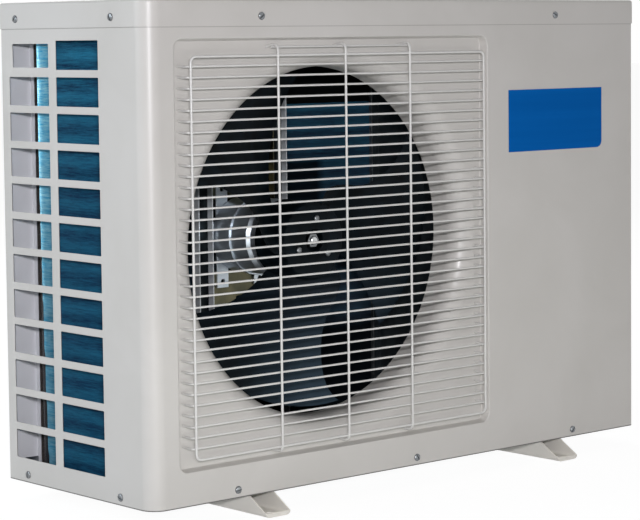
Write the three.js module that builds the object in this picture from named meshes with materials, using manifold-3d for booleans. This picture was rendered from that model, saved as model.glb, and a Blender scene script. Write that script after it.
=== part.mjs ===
// Air source heat pump for pools and spas, in a free-standing case with a horizontal air outlet.
// The case is sheet steel: a front panel wrapped round the left side, a service panel wrapped round
// the right rear, a lid and a base pan on two pressed feet. A wire grille covers the fan. Behind it
// the fan, its motor and a bent finned coil fill the left chamber. The right chamber holds the
// compressor, the refrigerant pipework, the water heat exchanger and the electric box.
//
// Millimetres, +Z up. Pieces are drawn in the case's own frame: x runs right from the case's left
// side, y runs back from its front, z runs up from its bottom. Each finished piece is then moved so
// that the origin lies on the ground under the middle of the whole unit.

import * as THREE from 'three';
import { mergeVertices } from 'three/addons/utils/BufferGeometryUtils.js';
import Module from 'manifold-3d';

const wasm = await Module();
wasm.setup();

// ---------------------------------------------------------------- driving dimensions

const clearance = 0.3;
const cutMargin = 1;
const round = {
  tubeSegments: 12, portSegments: 16, drumSegments: 18, hubSegments: 20, cornerSegments: 3,
  casingSegments: 4, lobeSegments: 4, wireSides: 6, guardSides: 4, hexagon: 6, mergeWithin: 1e-4,
};

const casing = { width: 820, depth: 292, height: 577, frontLeftRadius: 22, bendRadius: 5, sheet: 1 };
const cover = { lip: 31, beads: 3, beadMargin: 130, beadWidth: 26, beadDepth: 1.5, beadPitch: 78 };

const frontWrap = { rearReturn: 44, rearFold: 8, rightReturn: 12 };
const serviceWrap = { beforePartition: 9, flange: 14 };
const windowGrid = {
  pitch: 42.6, height: 34, belowTop: 45.5, aboveBottom: 25,
  frontStart: 91, between: 15, rearWidth: 82.5, rearMargin: 19.5,
};
const cornerWindow = { belowTop: 49, height: 28, rearMargin: 27 };

const partition = { fromRight: 242, flange: 12, sheet: 1.2 };

const recess = {
  left: 41.5, beforePartition: 37, bottom: 39, belowTop: 45,
  depth: 12, slope: 7, radius: 12, floorRadius: 8,
};
const bellMouth = { margin: 34.5, lip: 26, length: 49, flange: 6, seat: 6, segments: 40, lipSegments: 3 };

const grille = {
  standOff: 8, wire: 3, crossWire: 2.5, weld: 0.4, sideMargin: 16.25, topMargin: 20, bottomMargin: 15,
  loopRadius: 7, verticalSpacing: 105.3, hookTopMargin: 6, hookDrop: 4, hookBottomMargin: 9, hookRadius: 7,
  crossPitch: 12.4, crossBottomMargin: 27.9, crossTopMargin: 31, crossBend: 3.5, crossSides: 4, tieY: 0,
};

const pan = { rim: 22, floor: 1.2, seatHeight: 6, padHeight: 4, padMargin: 2 };
const foot = {
  height: 23, reach: 27, width: 38, thickness: 2, bendRadius: 6, endLip: 4.5, flare: 30,
  inset: 162.5, slotWidth: 10, slotLength: 14, slotInset: 14,
};

const coil = {
  sideGap: 19.7, rearGap: 15, thickness: 24, bendRadius: 42,
  frontEnd: 52, beforePartition: 12, belowTop: 29, plate: 1.2, plateLip: 4, seatMargin: 3, bendSegments: 5,
  bendPitch: 50, tubeRadius: 4.8, tubeSpacing: 25, firstBend: 66, bendTopMargin: 5, bendReach: 20,
  ribs: 42, ribShare: 0.55, ribDepth: 3.5,
};
const coilBlank = { drop: 103, besideBracket: 3, beforeEnd: 1, sheet: 1.2 };

const fan = {
  tipGap: 9, hubRadius: 48, hubFront: 52, hubLength: 56, blades: 3, phase: 132,
  front: 50, back: 112, thickness: 3, camber: 9, rootSink: 4,
  bladeRings: 6, bladeSteps: 6, hubRound: 4, pocket: 14, pocketDepth: 10,
};
// Angles in degrees from a blade's middle, and the share of its length at which the root gives way.
const bladeEdge = {
  front: 20, root: 42, rootShare: 0.24, rootFall: 4, hook: 8, hookRise: 6, back: 18, sweep: 32,
};
const shaft = { radius: 5, nutRadius: 9, nutLength: 8, stickOut: 11, tipEdge: 1 };
const motor = {
  radius: 48, front: 122, length: 74, bearing: 10, boss: 14, bossReach: 6, edge: 4, seam: 6, seamStep: 2,
  lug: 9, lugX: 30, lugStart: 24, lugEnd: 66, lugThickness: 3, holeZ: 58, hole: 3,
};
const bracket = {
  legWidth: 23, legOffset: 61, flange: 10, sheet: 1.5, plateHeight: 44, plateDrop: 67,
  slotWidth: 14, slotHeight: 5, slotDrop: 14,
};

const compressor = {
  fromRight: 164, beforeExchanger: 110, radius: 58, height: 244, bowl: 8, dome: 20, plate: 3, lobe: 13,
  seam: 1.5, seamBelowTop: 40, stubX: -20, stubY: -30, stub: 6, stubReach: 17, lid: 14,
  lidLow: 116, lidHigh: 174, domeEdge: 5,
};
const grommet = { radius: 12, waist: 7, topRadius: 10, topHeight: 5, height: 16, circle: 70, count: 3 };
const accumulator = {
  radius: 26, bottom: 70, belowTop: 21.8, spacing: 8, tube: 7, tubeZ: 50, stub: 14,
};

const reversingValve = {
  length: 90, radius: 13, end: 4.3, stub: 25, pitch: 22, besideCompressor: 4,
  solenoid: 24, solenoidOffset: 24, solenoidReach: 30, solenoidHeight: 24,
};
const expansionValve = { fromPartition: 32, radius: 12, length: 30, stub: 10, neck: 6 };
const pipework = {
  hot: 5.5, suction: 8, gas: 6, liquid: 5, bend: 14, tightBend: 10, sides: 8,
  suctionRise: 28.2, valveRise: 62, dischargeRise: 52, exchangerRise: 8, liquidRise: 24, boxRise: 36,
  exchangerDrop: 42, beforeExchanger: 62, gasTurn: 22, gasDrop: 15,
};

const exchanger = {
  fromRight: 70, fromRear: 70, radius: 50, belowPipes: 20, capRadius: 56, capHeight: 34, edge: 6,
  port: 7, portOffset: 20, portReach: 12, boreDepth: 36,
};
const union = {
  lowZ: 100, belowExchangerTop: 80, bore: 19, pipe: 25, collar: 34, collarWidth: 5, thread: 30,
  threadLength: 22, nutRadius: 38, nutRoot: 36, nutWall: 4, ribs: 12, lip: 4, play: 0.8, nutGap: 1,
  reach: 52, holeGap: 3, ribRise: 0.3, ribTop: 0.4, ribFall: 0.9,
};

const electricBox = { belowTop: 37, fromRight: 48, front: 8, fromRear: 60, sheet: 1.2, fold: 10 };
const board = {
  fromPartition: 18, width: 104, front: 24, depth: 140, thickness: 1.6, lift: 6, post: 3, postInset: 6,
};
const relay = { left: 8, width: 36, front: 8, depth: 28, height: 16 };
const transformer = { left: 54, width: 40, front: 10, depth: 18, height: 22 };
const filterBlock = { left: 10, width: 40, front: 72, depth: 44, height: 30 };
const heatSink = { left: 66, width: 28, front: 60, depth: 28, height: 18 };
const capacitor = { fromRight: 84, radius: 20, front: 44, length: 70, neck: 12, neckReach: 6 };
const terminal = {
  front: 66, width: 64, lift: 10, height: 24, reach: 16, ways: 4, slotHeight: 12, slotDepth: 9, wall: 3,
};

const vents = { count: 8, y0: 40, y1: 120, z: 60, pitch: 14, height: 5 };
const serviceOpening = { y0: 58, y1: 138, above: 8, below: 42 };
const serviceCover = {
  y0: 34, y1: 162, belowTop: 45, height: 134, reach: 14, wall: 2, radius: 8, chamfer: 5,
};
const grip = { y0: 64, y1: 132, below: 26, height: 34, depth: 30, radius: 10 };
const gland = {
  y: 98, belowCover: 30, thread: 8, inside: 14, body: 12, bodyWidth: 6, cap: 10, capWidth: 12, bore: 5,
};
const drain = {
  besideFan: 39, fromRear: 78, radius: 9, bore: 7, flange: 14, flangeHeight: 3, reach: 18,
};
const guard = {
  left: 26, beyondPartition: 8, bottom: 30, belowTop: 37, radius: 14, wire: 4, weld: 0.5,
  levels: 8, uprights: 5,
};

// ---------------------------------------------------------------- derived places

const skin = casing.sheet + clearance;
const panelTop = casing.height - casing.sheet - clearance;
const coverBottom = casing.height - cover.lip;
const panInset = skin + casing.sheet + clearance;
const panInner = panInset + casing.sheet;

const partitionX = casing.width - partition.fromRight;
const recessRight = partitionX - recess.beforePartition;
const recessTop = casing.height - recess.belowTop;
const recessWidth = recessRight - recess.left;
const recessHeight = recessTop - recess.bottom;
const fanAxis = { x: recess.left + recessWidth / 2, z: recess.bottom + recessHeight / 2 };
const throat = Math.min(recessWidth, recessHeight) / 2 - bellMouth.margin;
const fanRadius = throat - fan.tipGap;
const recessFloor = skin + recess.depth;
const throatEnd = recessFloor + bellMouth.length;
const loopY = -grille.standOff;
const crossY = loopY + (grille.wire + grille.crossWire) / 2 - grille.weld;
const uprightY = loopY - grille.weld;

const coilOuterX = panInset + coil.sideGap;
const coilOuterY = casing.depth - panInset - coil.rearGap;
const coilRight = partitionX - coil.beforePartition;
const coilTop = casing.height - coil.belowTop;
const coilBottom = pan.floor + pan.seatHeight + clearance;
const coilInnerY = coilOuterY - coil.thickness;
const coilMiddleY = coilOuterY - coil.thickness / 2;
const sheetStart = coilRight + clearance;
const coilFace = sheetStart + coil.plate + clearance;
const bendRoom = coilTop - coil.bendTopMargin - coil.tubeSpacing - coil.firstBend;
const bendCount = Math.floor(bendRoom / coil.bendPitch) + 1;
const coilLiquidZ = coil.firstBend - (coil.bendPitch - coil.tubeSpacing) / 2;

const exchangerX = casing.width - exchanger.fromRight;
const exchangerY = casing.depth - exchanger.fromRear;
const exchangerEnd = exchangerX + exchanger.capRadius;
const padTop = pan.floor + pan.padHeight;
const grommetBottom = padTop + clearance;
const plateBottom = grommetBottom + grommet.height + clearance;
const compressorPlace = {
  x: casing.width - compressor.fromRight,
  y: exchangerY - compressor.beforeExchanger,
};
const compressorTop = plateBottom - compressor.bowl + compressor.height;
const accumulatorX = compressorPlace.x + compressor.radius + accumulator.spacing + accumulator.radius;
const accumulatorTop = compressorTop - accumulator.belowTop;

const suctionZ = compressorTop + pipework.suctionRise;
const valveX = compressorPlace.x + reversingValve.besideCompressor;
const valveZ = suctionZ + pipework.valveRise;
const valveLow = valveZ - reversingValve.stub;
const dischargeTop = valveZ + pipework.dischargeRise;
const exchangerTop = dischargeTop - exchanger.belowPipes;
const gasStep = Math.floor((valveLow - pipework.gasDrop - coilLiquidZ) / coil.bendPitch);
const coilGasZ = coilLiquidZ + gasStep * coil.bendPitch;
const expansionX = partitionX + expansionValve.fromPartition;
const unionHeights = [union.lowZ, exchangerTop - union.belowExchangerTop];

const panelFace = casing.width - skin;
const collarStart = panelFace + clearance;
const collarEnd = collarStart + union.collarWidth;
const threadEnd = collarEnd + union.threadLength;
const tailStart = threadEnd + clearance;
const farRight = casing.width + union.reach;

const boxBottom = dischargeTop + pipework.boxRise;
const boxTop = casing.height - electricBox.belowTop;
const boxRight = casing.width - electricBox.fromRight;
const boardLeft = partitionX + board.fromPartition;
const serviceTop = casing.height - serviceCover.belowTop;
const serviceBottom = serviceTop - serviceCover.height;
const gripTop = serviceTop - grip.below;
const gripBottom = gripTop - grip.height;
const drainPlace = { x: fanAxis.x + drain.besideFan, y: casing.depth - drain.fromRear };

// ---------------------------------------------------------------- shape helpers

// A closed surface becomes a solid once its shared corners are merged and its poles are clean.
function solid(geometry) {
  const bare = geometry.clone();
  for (const name of Object.keys(bare.attributes)) {
    if (name !== 'position') bare.deleteAttribute(name);
  }
  const merged = mergeVertices(bare, round.mergeWithin);
  const triangles = [];
  for (let i = 0; i < merged.index.count; i += 3) {
    const [a, b, c] = [0, 1, 2].map((k) => merged.index.getX(i + k));
    if (a !== b && b !== c && c !== a) triangles.push(a, b, c);
  }
  if (signedVolume(merged.attributes.position, triangles) < 0) triangles.reverse();
  return new wasm.Manifold(new wasm.Mesh({
    numProp: 3,
    vertProperties: new Float32Array(merged.attributes.position.array),
    triVerts: new Uint32Array(triangles),
  }));
}

function signedVolume(position, triangles) {
  const [a, b, c] = [new THREE.Vector3(), new THREE.Vector3(), new THREE.Vector3()];
  let volume = 0;
  for (let i = 0; i < triangles.length; i += 3) {
    a.fromBufferAttribute(position, triangles[i]);
    b.fromBufferAttribute(position, triangles[i + 1]);
    c.fromBufferAttribute(position, triangles[i + 2]);
    volume += a.dot(b.cross(c)) / 6;
  }
  return volume;
}

function join(parts) {
  return parts.reduce((whole, part) => whole.add(part));
}

function cut(body, tools) {
  return tools.reduce((rest, tool) => rest.subtract(tool), body);
}

// The point at a radius and an angle round a centre.
function around(centre, radius, angle) {
  return new THREE.Vector2(centre.x + radius * Math.cos(angle), centre.y + radius * Math.sin(angle));
}

// Points of a rectangle with round corners, radii listed from the low corner round by x first.
function roundedRect(x0, y0, x1, y1, radii, segments) {
  const corners = [[x0, y0, 1, 1], [x1, y0, -1, 1], [x1, y1, -1, -1], [x0, y1, 1, -1]];
  const points = [];
  corners.forEach(([x, y, sx, sy], k) => {
    const radius = radii[k];
    for (let i = 0; i <= segments; i += 1) {
      const angle = Math.PI + (k + i / segments) * Math.PI / 2;
      points.push(around({ x: x + sx * radius, y: y + sy * radius }, radius, angle));
    }
  });
  return points;
}

function evenRect(x0, y0, x1, y1, radius, segments = round.cornerSegments) {
  return roundedRect(x0, y0, x1, y1, [radius, radius, radius, radius], segments);
}

function circle(x, y, radius, segments) {
  const points = [];
  for (let i = 0; i < segments; i += 1) {
    points.push(around({ x, y }, radius, i / segments * 2 * Math.PI));
  }
  return points;
}

// Outline of the case in plan, drawn in from the lid's outer face by an inset.
function casingOutline(inset) {
  const bend = Math.max(casing.bendRadius - inset, casing.sheet / 2);
  const radii = [casing.frontLeftRadius - inset, bend, bend, bend];
  return roundedRect(inset, inset, casing.width - inset, casing.depth - inset, radii,
    round.casingSegments);
}

const alongX = new THREE.Matrix4().makeBasis(
  new THREE.Vector3(0, 1, 0), new THREE.Vector3(0, 0, 1), new THREE.Vector3(1, 0, 0));
const alongY = new THREE.Matrix4().makeBasis(
  new THREE.Vector3(0, 0, 1), new THREE.Vector3(1, 0, 0), new THREE.Vector3(0, 1, 0));

function extrude(points, depth) {
  return new THREE.ExtrudeGeometry(new THREE.Shape(points), { depth, bevelEnabled: false });
}

// A plan outline raised from z0 to z1.
function standing(points, z0, z1) {
  return solid(extrude(points, z1 - z0).translate(0, 0, z0));
}

// An outline in y and z carried along x.
function acrossX(points, x0, x1) {
  return solid(extrude(points, x1 - x0).applyMatrix4(alongX).translate(x0, 0, 0));
}

// An outline in x and z carried along y.
function acrossY(points, y0, y1) {
  const turned = points.map((p) => new THREE.Vector2(p.y, p.x));
  return solid(extrude(turned, y1 - y0).applyMatrix4(alongY).translate(0, y0, 0));
}

function box(x0, x1, y0, y1, z0, z1) {
  const shape = new THREE.BoxGeometry(x1 - x0, y1 - y0, z1 - z0);
  return solid(shape.translate((x0 + x1) / 2, (y0 + y1) / 2, (z0 + z1) / 2));
}

// A turned body: profile points are radius and height along the axis.
function turned(profile, segments, axis, place) {
  const points = profile.map(([radius, height]) => new THREE.Vector2(radius, height));
  const shape = new THREE.LatheGeometry(points, segments);
  if (axis === 'x') shape.rotateZ(-Math.PI / 2);
  if (axis === 'z') shape.rotateX(Math.PI / 2);
  return solid(shape.translate(place.x, place.y, place.z));
}

// A body between two outlines of like count, the second standing at a height above the first.
function loft(first, second, depth) {
  const count = first.length;
  const position = [];
  first.forEach((p) => position.push(p.x, p.y, 0));
  second.forEach((p) => position.push(p.x, p.y, depth));
  const index = [];
  for (let i = 0; i < count; i += 1) {
    const next = (i + 1) % count;
    index.push(i, next, count + i, next, count + next, count + i);
  }
  THREE.ShapeUtils.triangulateShape(first, []).forEach(([a, b, c]) => index.push(a, c, b));
  THREE.ShapeUtils.triangulateShape(second, []).forEach(([a, b, c]) => {
    index.push(count + a, count + b, count + c);
  });
  const shape = new THREE.BufferGeometry();
  shape.setAttribute('position', new THREE.Float32BufferAttribute(position, 3));
  shape.setIndex(index);
  return shape;
}

function loftX(first, x0, second, x1) {
  return solid(loft(first, second, x1 - x0).applyMatrix4(alongX).translate(x0, 0, 0));
}

function loftY(first, y0, second, y1) {
  const swap = (points) => points.map((p) => new THREE.Vector2(p.y, p.x)).reverse();
  return solid(loft(swap(first), swap(second), y1 - y0).applyMatrix4(alongY).translate(0, y0, 0));
}

// A route through listed points: a swept section stands square across it at each point.
class Route extends THREE.Curve {
  constructor(points) {
    super();
    this.points = points;
  }

  getPointAt(u) {
    return this.points[Math.round(u * (this.points.length - 1))].clone();
  }

  getTangentAt(u) {
    const i = Math.round(u * (this.points.length - 1));
    const last = this.points.length - 1;
    const before = this.points[Math.max(i - 1, 0)];
    const here = this.points[i];
    const after = this.points[Math.min(i + 1, last)];
    const incoming = here.clone().sub(before).normalize();
    const outgoing = after.clone().sub(here).normalize();
    return incoming.add(outgoing).normalize();
  }
}

// The corners of a line of points rounded to a bend radius.
function rounded(corners, radius, segments) {
  const points = [corners[0]];
  for (let i = 1; i < corners.length - 1; i += 1) {
    const here = corners[i];
    const back = corners[i - 1].clone().sub(here).normalize();
    const ahead = corners[i + 1].clone().sub(here).normalize();
    const half = back.angleTo(ahead) / 2;
    const reach = radius / Math.tan(half);
    const centre = back.clone().add(ahead).normalize().multiplyScalar(radius / Math.sin(half)).add(here);
    const start = here.clone().addScaledVector(back, reach).sub(centre);
    const end = here.clone().addScaledVector(ahead, reach).sub(centre);
    const sweep = Math.PI - 2 * half;
    for (let k = 0; k <= segments; k += 1) {
      const t = k / segments;
      const a = Math.sin((1 - t) * sweep) / Math.sin(sweep);
      const b = Math.sin(t * sweep) / Math.sin(sweep);
      points.push(centre.clone().addScaledVector(start, a).addScaledVector(end, b));
    }
  }
  points.push(corners[corners.length - 1]);
  return points;
}

// A rod or tube of even section along a route, its section turned by a phase.
function rod(points, radius, sides, phase = 0) {
  const section = circle(0, 0, radius, sides).map((p) => p.rotateAround(new THREE.Vector2(), phase));
  const shape = new THREE.ExtrudeGeometry(new THREE.Shape(section), {
    steps: points.length - 1, bevelEnabled: false, extrudePath: new Route(points),
  });
  return solid(shape);
}

function at(x, y, z) {
  return new THREE.Vector3(x, y, z);
}

// ---------------------------------------------------------------- case

// A ring of sheet that follows the case's outline, from which the panels are cut.
function sheetRing() {
  const inner = standing(casingOutline(skin + casing.sheet), -cutMargin, panelTop + cutMargin);
  return cut(standing(casingOutline(skin), 0, panelTop), [inner]);
}

function recessOutline(depth, grow) {
  const share = depth / recess.depth;
  const inset = recess.slope * share - grow;
  const radius = recess.radius + (recess.floorRadius - recess.radius) * share + grow;
  return evenRect(recess.left + inset, recess.bottom + inset, recessRight - inset, recessTop - inset, radius);
}

function sideWindows() {
  const { pitch, height, belowTop, aboveBottom, frontStart, between, rearWidth, rearMargin } = windowGrid;
  const top = casing.height - belowTop;
  const rows = Math.floor((top - height - aboveBottom) / pitch) + 1;
  const rearStart = casing.depth - rearMargin - rearWidth;
  const windows = [];
  const open = (y0, y1, z1, tall) => {
    windows.push(box(-cutMargin, skin + casing.sheet + cutMargin, y0, y1, z1 - tall, z1));
  };
  for (let row = 0; row < rows; row += 1) {
    open(frontStart, rearStart - between, top - row * pitch, height);
    if (row > 0) open(rearStart, rearStart + rearWidth, top - row * pitch, height);
  }
  open(rearStart, casing.depth - cornerWindow.rearMargin, casing.height - cornerWindow.belowTop,
    cornerWindow.height);
  return windows;
}

function frontPanel() {
  const { rearReturn, rearFold, rightReturn } = frontWrap;
  const beyond = casing.width + cutMargin;
  const rest = box(rearReturn, beyond, skin + rightReturn, beyond, -cutMargin, casing.height);
  const wrap = cut(sheetRing(), [rest, ...sideWindows()]);
  const foldBack = casing.depth - skin;
  const fold = box(rearReturn - casing.sheet, rearReturn, foldBack - casing.sheet - rearFold, foldBack,
    pan.rim + clearance, panelTop);
  const tray = loftY(recessOutline(0, casing.sheet), skin,
    recessOutline(recess.depth, casing.sheet), recessFloor + casing.sheet);
  const hollow = loftY(recessOutline(-cutMargin, 0), skin - cutMargin,
    recessOutline(recess.depth, 0), recessFloor);
  const opening = acrossY(circle(fanAxis.x, fanAxis.z, throat + bellMouth.lip, bellMouth.segments),
    skin, recessFloor + casing.sheet + cutMargin);
  return cut(join([wrap, fold, tray]), [hollow, opening]);
}

// The drawn ring that leads air out of the fan: a wide rounded lip and a short straight throat. Its
// rim stands flush in the panel's opening and steps back to a narrow flange behind the sheet.
function fanRing() {
  const { lip, flange, seat, segments, lipSegments } = bellMouth;
  const rim = throat + lip - clearance;
  const flangeFront = recessFloor + casing.sheet + clearance;
  const flangeBack = flangeFront + casing.sheet;
  const profile = [[rim, recessFloor]];
  const bend = (radius, step) => {
    const angle = step / lipSegments * Math.PI / 2;
    profile.push([throat + lip - radius * Math.sin(angle), recessFloor + lip - radius * Math.cos(angle)]);
  };
  for (let i = 1; i <= lipSegments; i += 1) bend(lip, i);
  profile.push([throat, throatEnd], [throat + casing.sheet, throatEnd]);
  for (let i = lipSegments; i > 0; i -= 1) bend(lip - casing.sheet, i);
  profile.push([rim - seat, flangeBack], [rim + flange, flangeBack], [rim + flange, flangeFront],
    [rim, flangeFront], profile[0]);
  return turned(profile, segments, 'y', at(fanAxis.x, 0, fanAxis.z));
}

function topCover() {
  const { sheet, width, depth, height } = casing;
  const inside = standing(casingOutline(sheet), coverBottom - cutMargin, height - sheet);
  let lid = cut(standing(casingOutline(0), coverBottom, height), [inside]);
  for (let i = 0; i < cover.beads; i += 1) {
    const y = depth / 2 + (i - (cover.beads - 1) / 2) * cover.beadPitch;
    const half = cover.beadWidth / 2;
    const bead = (inset) => evenRect(
      cover.beadMargin + inset, y - half + inset,
      width - cover.beadMargin - inset, y + half - inset, half - inset, 2);
    lid = lid.add(standing(bead(0), height - sheet - cover.beadDepth, height - sheet / 2));
    lid = lid.subtract(standing(bead(sheet), height - cover.beadDepth, height + cutMargin));
  }
  return lid;
}

function servicePanel() {
  const { flange } = serviceWrap;
  const rearEdge = partitionX - serviceWrap.beforePartition;
  const front = skin + frontWrap.rightReturn + clearance;
  const left = box(-cutMargin, rearEdge, -cutMargin, casing.depth, -cutMargin, casing.height);
  const before = box(-cutMargin, casing.width, -cutMargin, front, -cutMargin, casing.height);
  const right = casing.width - skin;
  const innerRight = right - casing.sheet;
  const frontFlange = box(innerRight - flange, right - casing.sheet / 2, front, front + casing.sheet,
    pan.rim + clearance, panelTop);
  const rearFlange = box(rearEdge, rearEdge + casing.sheet, coilOuterY + coil.plateLip + clearance,
    casing.depth - skin - casing.sheet / 2, pan.rim + clearance, panelTop);
  const slots = [];
  for (let i = 0; i < vents.count; i += 1) {
    const z = vents.z + i * vents.pitch;
    slots.push(box(innerRight - cutMargin, casing.width, vents.y0, vents.y1, z, z + vents.height));
  }
  const wiring = box(innerRight - cutMargin, casing.width, serviceOpening.y0, serviceOpening.y1,
    gripBottom - serviceOpening.below, gripTop + serviceOpening.above);
  const holes = unionHeights.map((z) => turned(
    [[0, -cutMargin], [union.pipe + union.holeGap, -cutMargin],
      [union.pipe + union.holeGap, casing.sheet + cutMargin], [0, casing.sheet + cutMargin]],
    round.hubSegments, 'x', at(innerRight, exchangerY, z)));
  const cable = turned(
    [[0, -cutMargin], [gland.thread + clearance, -cutMargin],
      [gland.thread + clearance, casing.sheet + cutMargin], [0, casing.sheet + cutMargin]],
    round.tubeSegments, 'x', at(innerRight, gland.y, serviceBottom - gland.belowCover));
  return join([cut(sheetRing(), [left, before]), frontFlange, rearFlange])
    .subtract(join([...slots, wiring, ...holes, cable]));
}

function serviceCoverShell() {
  const { y0, y1, reach, wall, radius, chamfer } = serviceCover;
  const seat = casing.width - skin + clearance;
  const face = seat + reach;
  const outline = (inset) => evenRect(
    y0 + inset, serviceBottom + inset, y1 - inset, serviceTop - inset, radius - inset / 2);
  const pocket = (grow) => evenRect(
    grip.y0 - grow, gripBottom - grow, grip.y1 + grow, gripTop + grow, grip.radius + grow);
  const shell = acrossX(outline(0), seat, face - chamfer)
    .add(loftX(outline(0), face - chamfer, outline(chamfer), face));
  const cavity = acrossX(outline(wall), seat - cutMargin, face - chamfer)
    .add(loftX(outline(wall), face - chamfer - wall, outline(chamfer + wall), face - wall));
  return shell.subtract(cavity)
    .add(acrossX(pocket(wall), face - grip.depth - wall, face - wall / 2))
    .subtract(acrossX(pocket(0), face - grip.depth, face + cutMargin));
}

// ---------------------------------------------------------------- base

// A patch of the pan's floor pressed up, hollow below.
function pressUp(panBody, outline, height) {
  return panBody
    .add(standing(outline(0), pan.floor / 2, pan.floor + height))
    .subtract(standing(outline(pan.floor), -cutMargin, height));
}

function basePan() {
  const tray = cut(standing(casingOutline(panInset), 0, pan.rim),
    [standing(casingOutline(panInner), pan.floor, pan.rim + cutMargin)]);
  const seated = pressUp(tray, (inset) => coilOutline(coil.seatMargin - inset), pan.seatHeight);
  const compressorPad = (inset) => lobes(compressor.lobe + pan.padMargin - inset);
  const exchangerPad = (inset) => circle(
    exchangerX, exchangerY, exchanger.capRadius - pan.padMargin - inset, round.portSegments);
  const drainHole = standing(
    circle(drainPlace.x, drainPlace.y, drain.radius + clearance, round.tubeSegments),
    -cutMargin, pan.floor + cutMargin);
  return pressUp(pressUp(seated, compressorPad, pan.padHeight), exchangerPad, pan.padHeight)
    .subtract(drainHole);
}

// The three-cornered outline of the compressor's base plate, one lobe round each grommet.
function lobes(radius, steps = round.lobeSegments) {
  const points = [];
  for (let i = 0; i < grommet.count; i += 1) {
    const turn = Math.PI / 2 + i * 2 * Math.PI / grommet.count;
    const centre = grommetPlace(i);
    for (let k = 0; k <= steps; k += 1) {
      const angle = turn + (k / steps - 0.5) * 2 * Math.PI / grommet.count;
      points.push(around(centre, radius, angle));
    }
  }
  return points;
}

function grommetPlace(i) {
  const turn = Math.PI / 2 + i * 2 * Math.PI / grommet.count;
  const centre = around(compressorPlace, grommet.circle, turn);
  return at(centre.x, centre.y, 0);
}

// A channel pressed from strip, open side up, its walls running out to a low lip at each tip.
function channelFoot(x) {
  const { height, reach, width, thickness, bendRadius, endLip, flare, slotWidth, slotLength } = foot;
  const y0 = -reach;
  const y1 = casing.depth + reach;
  const half = width / 2;
  const outer = channel(half, height, bendRadius);
  const inner = channel(half - thickness, height - thickness, bendRadius - thickness);
  const side = [[y0, -height], [y1, -height], [y1, endLip - height], [y1 - flare, -clearance],
    [y0 + flare, -clearance], [y0, endLip - height]].map(([y, z]) => new THREE.Vector2(y, z));
  const bar = acrossY(outer, y0, y1).intersect(acrossX(side, -half, half));
  const trough = acrossY(inner, y0 + thickness, y1 - thickness);
  const slots = [y0 + foot.slotInset, y1 - foot.slotInset].map((y) => standing(
    evenRect(-slotWidth / 2, y - slotLength / 2, slotWidth / 2, y + slotLength / 2, slotWidth / 2),
    -height - cutMargin, cutMargin));
  return cut(bar, [trough, ...slots]).translate(x, 0, 0);
}

// Section of a trough in x and z: flat sole, two bends, upright walls.
function channel(half, height, radius) {
  return roundedRect(-half, -height, half, cutMargin, [radius, radius, 0, 0], round.cornerSegments);
}

function drainSpigot() {
  const { radius, bore, flange, flangeHeight, reach } = drain;
  return turned([[bore, -reach], [radius, -reach], [radius, -flangeHeight - clearance],
    [flange, -flangeHeight - clearance], [flange, -clearance], [radius, -clearance],
    [radius, pan.floor], [bore, pan.floor], [bore, -reach]],
  round.tubeSegments, 'z', at(drainPlace.x, drainPlace.y, 0));
}

// ---------------------------------------------------------------- wire grille and rear guard

// A closed loop of wire with round corners, its section an even octagon.
function wireLoop(x0, z0, x1, z1, radius, wire, y) {
  const bevel = wire * (1 - Math.SQRT1_2);
  const flat = wire / 2 - bevel;
  const outline = (grow) => evenRect(z0 - grow, x0 - grow, z1 + grow, x1 + grow, radius + grow, 2);
  const shape = new THREE.Shape(outline(flat));
  shape.holes.push(new THREE.Path(outline(-flat)));
  const loop = new THREE.ExtrudeGeometry(shape, {
    depth: 2 * flat, bevelThickness: bevel, bevelSize: bevel, bevelSegments: 1,
  });
  return solid(loop.applyMatrix4(alongY).translate(0, y - flat, 0));
}

function wireGrille() {
  const { wire, crossWire, sideMargin, loopRadius, hookRadius, hookDrop, crossPitch } = grille;
  const seat = recessFloor - clearance;
  const loopHalfWidth = recessWidth / 2 - sideMargin;
  const hookTop = recessTop - grille.hookTopMargin;
  const hookBottom = recess.bottom + grille.hookBottomMargin;
  const wires = [wireLoop(recess.left + sideMargin, recess.bottom + grille.bottomMargin,
    recessRight - sideMargin, recessTop - grille.topMargin, loopRadius, wire, loopY)];
  for (const side of [-1, 0, 1]) {
    const x = fanAxis.x + side * grille.verticalSpacing;
    const route = rounded([
      at(x, seat, hookBottom), at(x, uprightY, hookBottom),
      at(x, uprightY, hookTop), at(x, seat, hookTop - hookDrop)], hookRadius, 2);
    wires.push(rod(route, wire / 2, round.wireSides, Math.PI / round.wireSides));
  }
  const legX = loopHalfWidth + (wire + crossWire) / 2;
  const crossRoom = recessHeight - grille.crossBottomMargin - grille.crossTopMargin;
  for (let i = 0; i <= Math.floor(crossRoom / crossPitch); i += 1) {
    const z = recess.bottom + grille.crossBottomMargin + i * crossPitch;
    const route = rounded([
      at(fanAxis.x - legX, seat, z), at(fanAxis.x - legX, crossY, z),
      at(fanAxis.x + legX, crossY, z), at(fanAxis.x + legX, seat, z)], grille.crossBend, 1);
    wires.push(rod(route, crossWire / 2, grille.crossSides));
  }
  const hookShare = (grille.tieY - loopY) / (seat - loopY);
  const tieZ = hookTop - hookDrop * hookShare - (wire + crossWire) / 2 + 2 * grille.weld;
  const tieReach = grille.verticalSpacing + wire;
  wires.push(rod([at(fanAxis.x - tieReach, grille.tieY, tieZ), at(fanAxis.x + tieReach, grille.tieY, tieZ)],
    crossWire / 2, round.wireSides));
  const beyondSeat = box(recess.left, recessRight, seat, seat + wire, recess.bottom, recessTop);
  return join(wires).subtract(beyondSeat);
}

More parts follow.
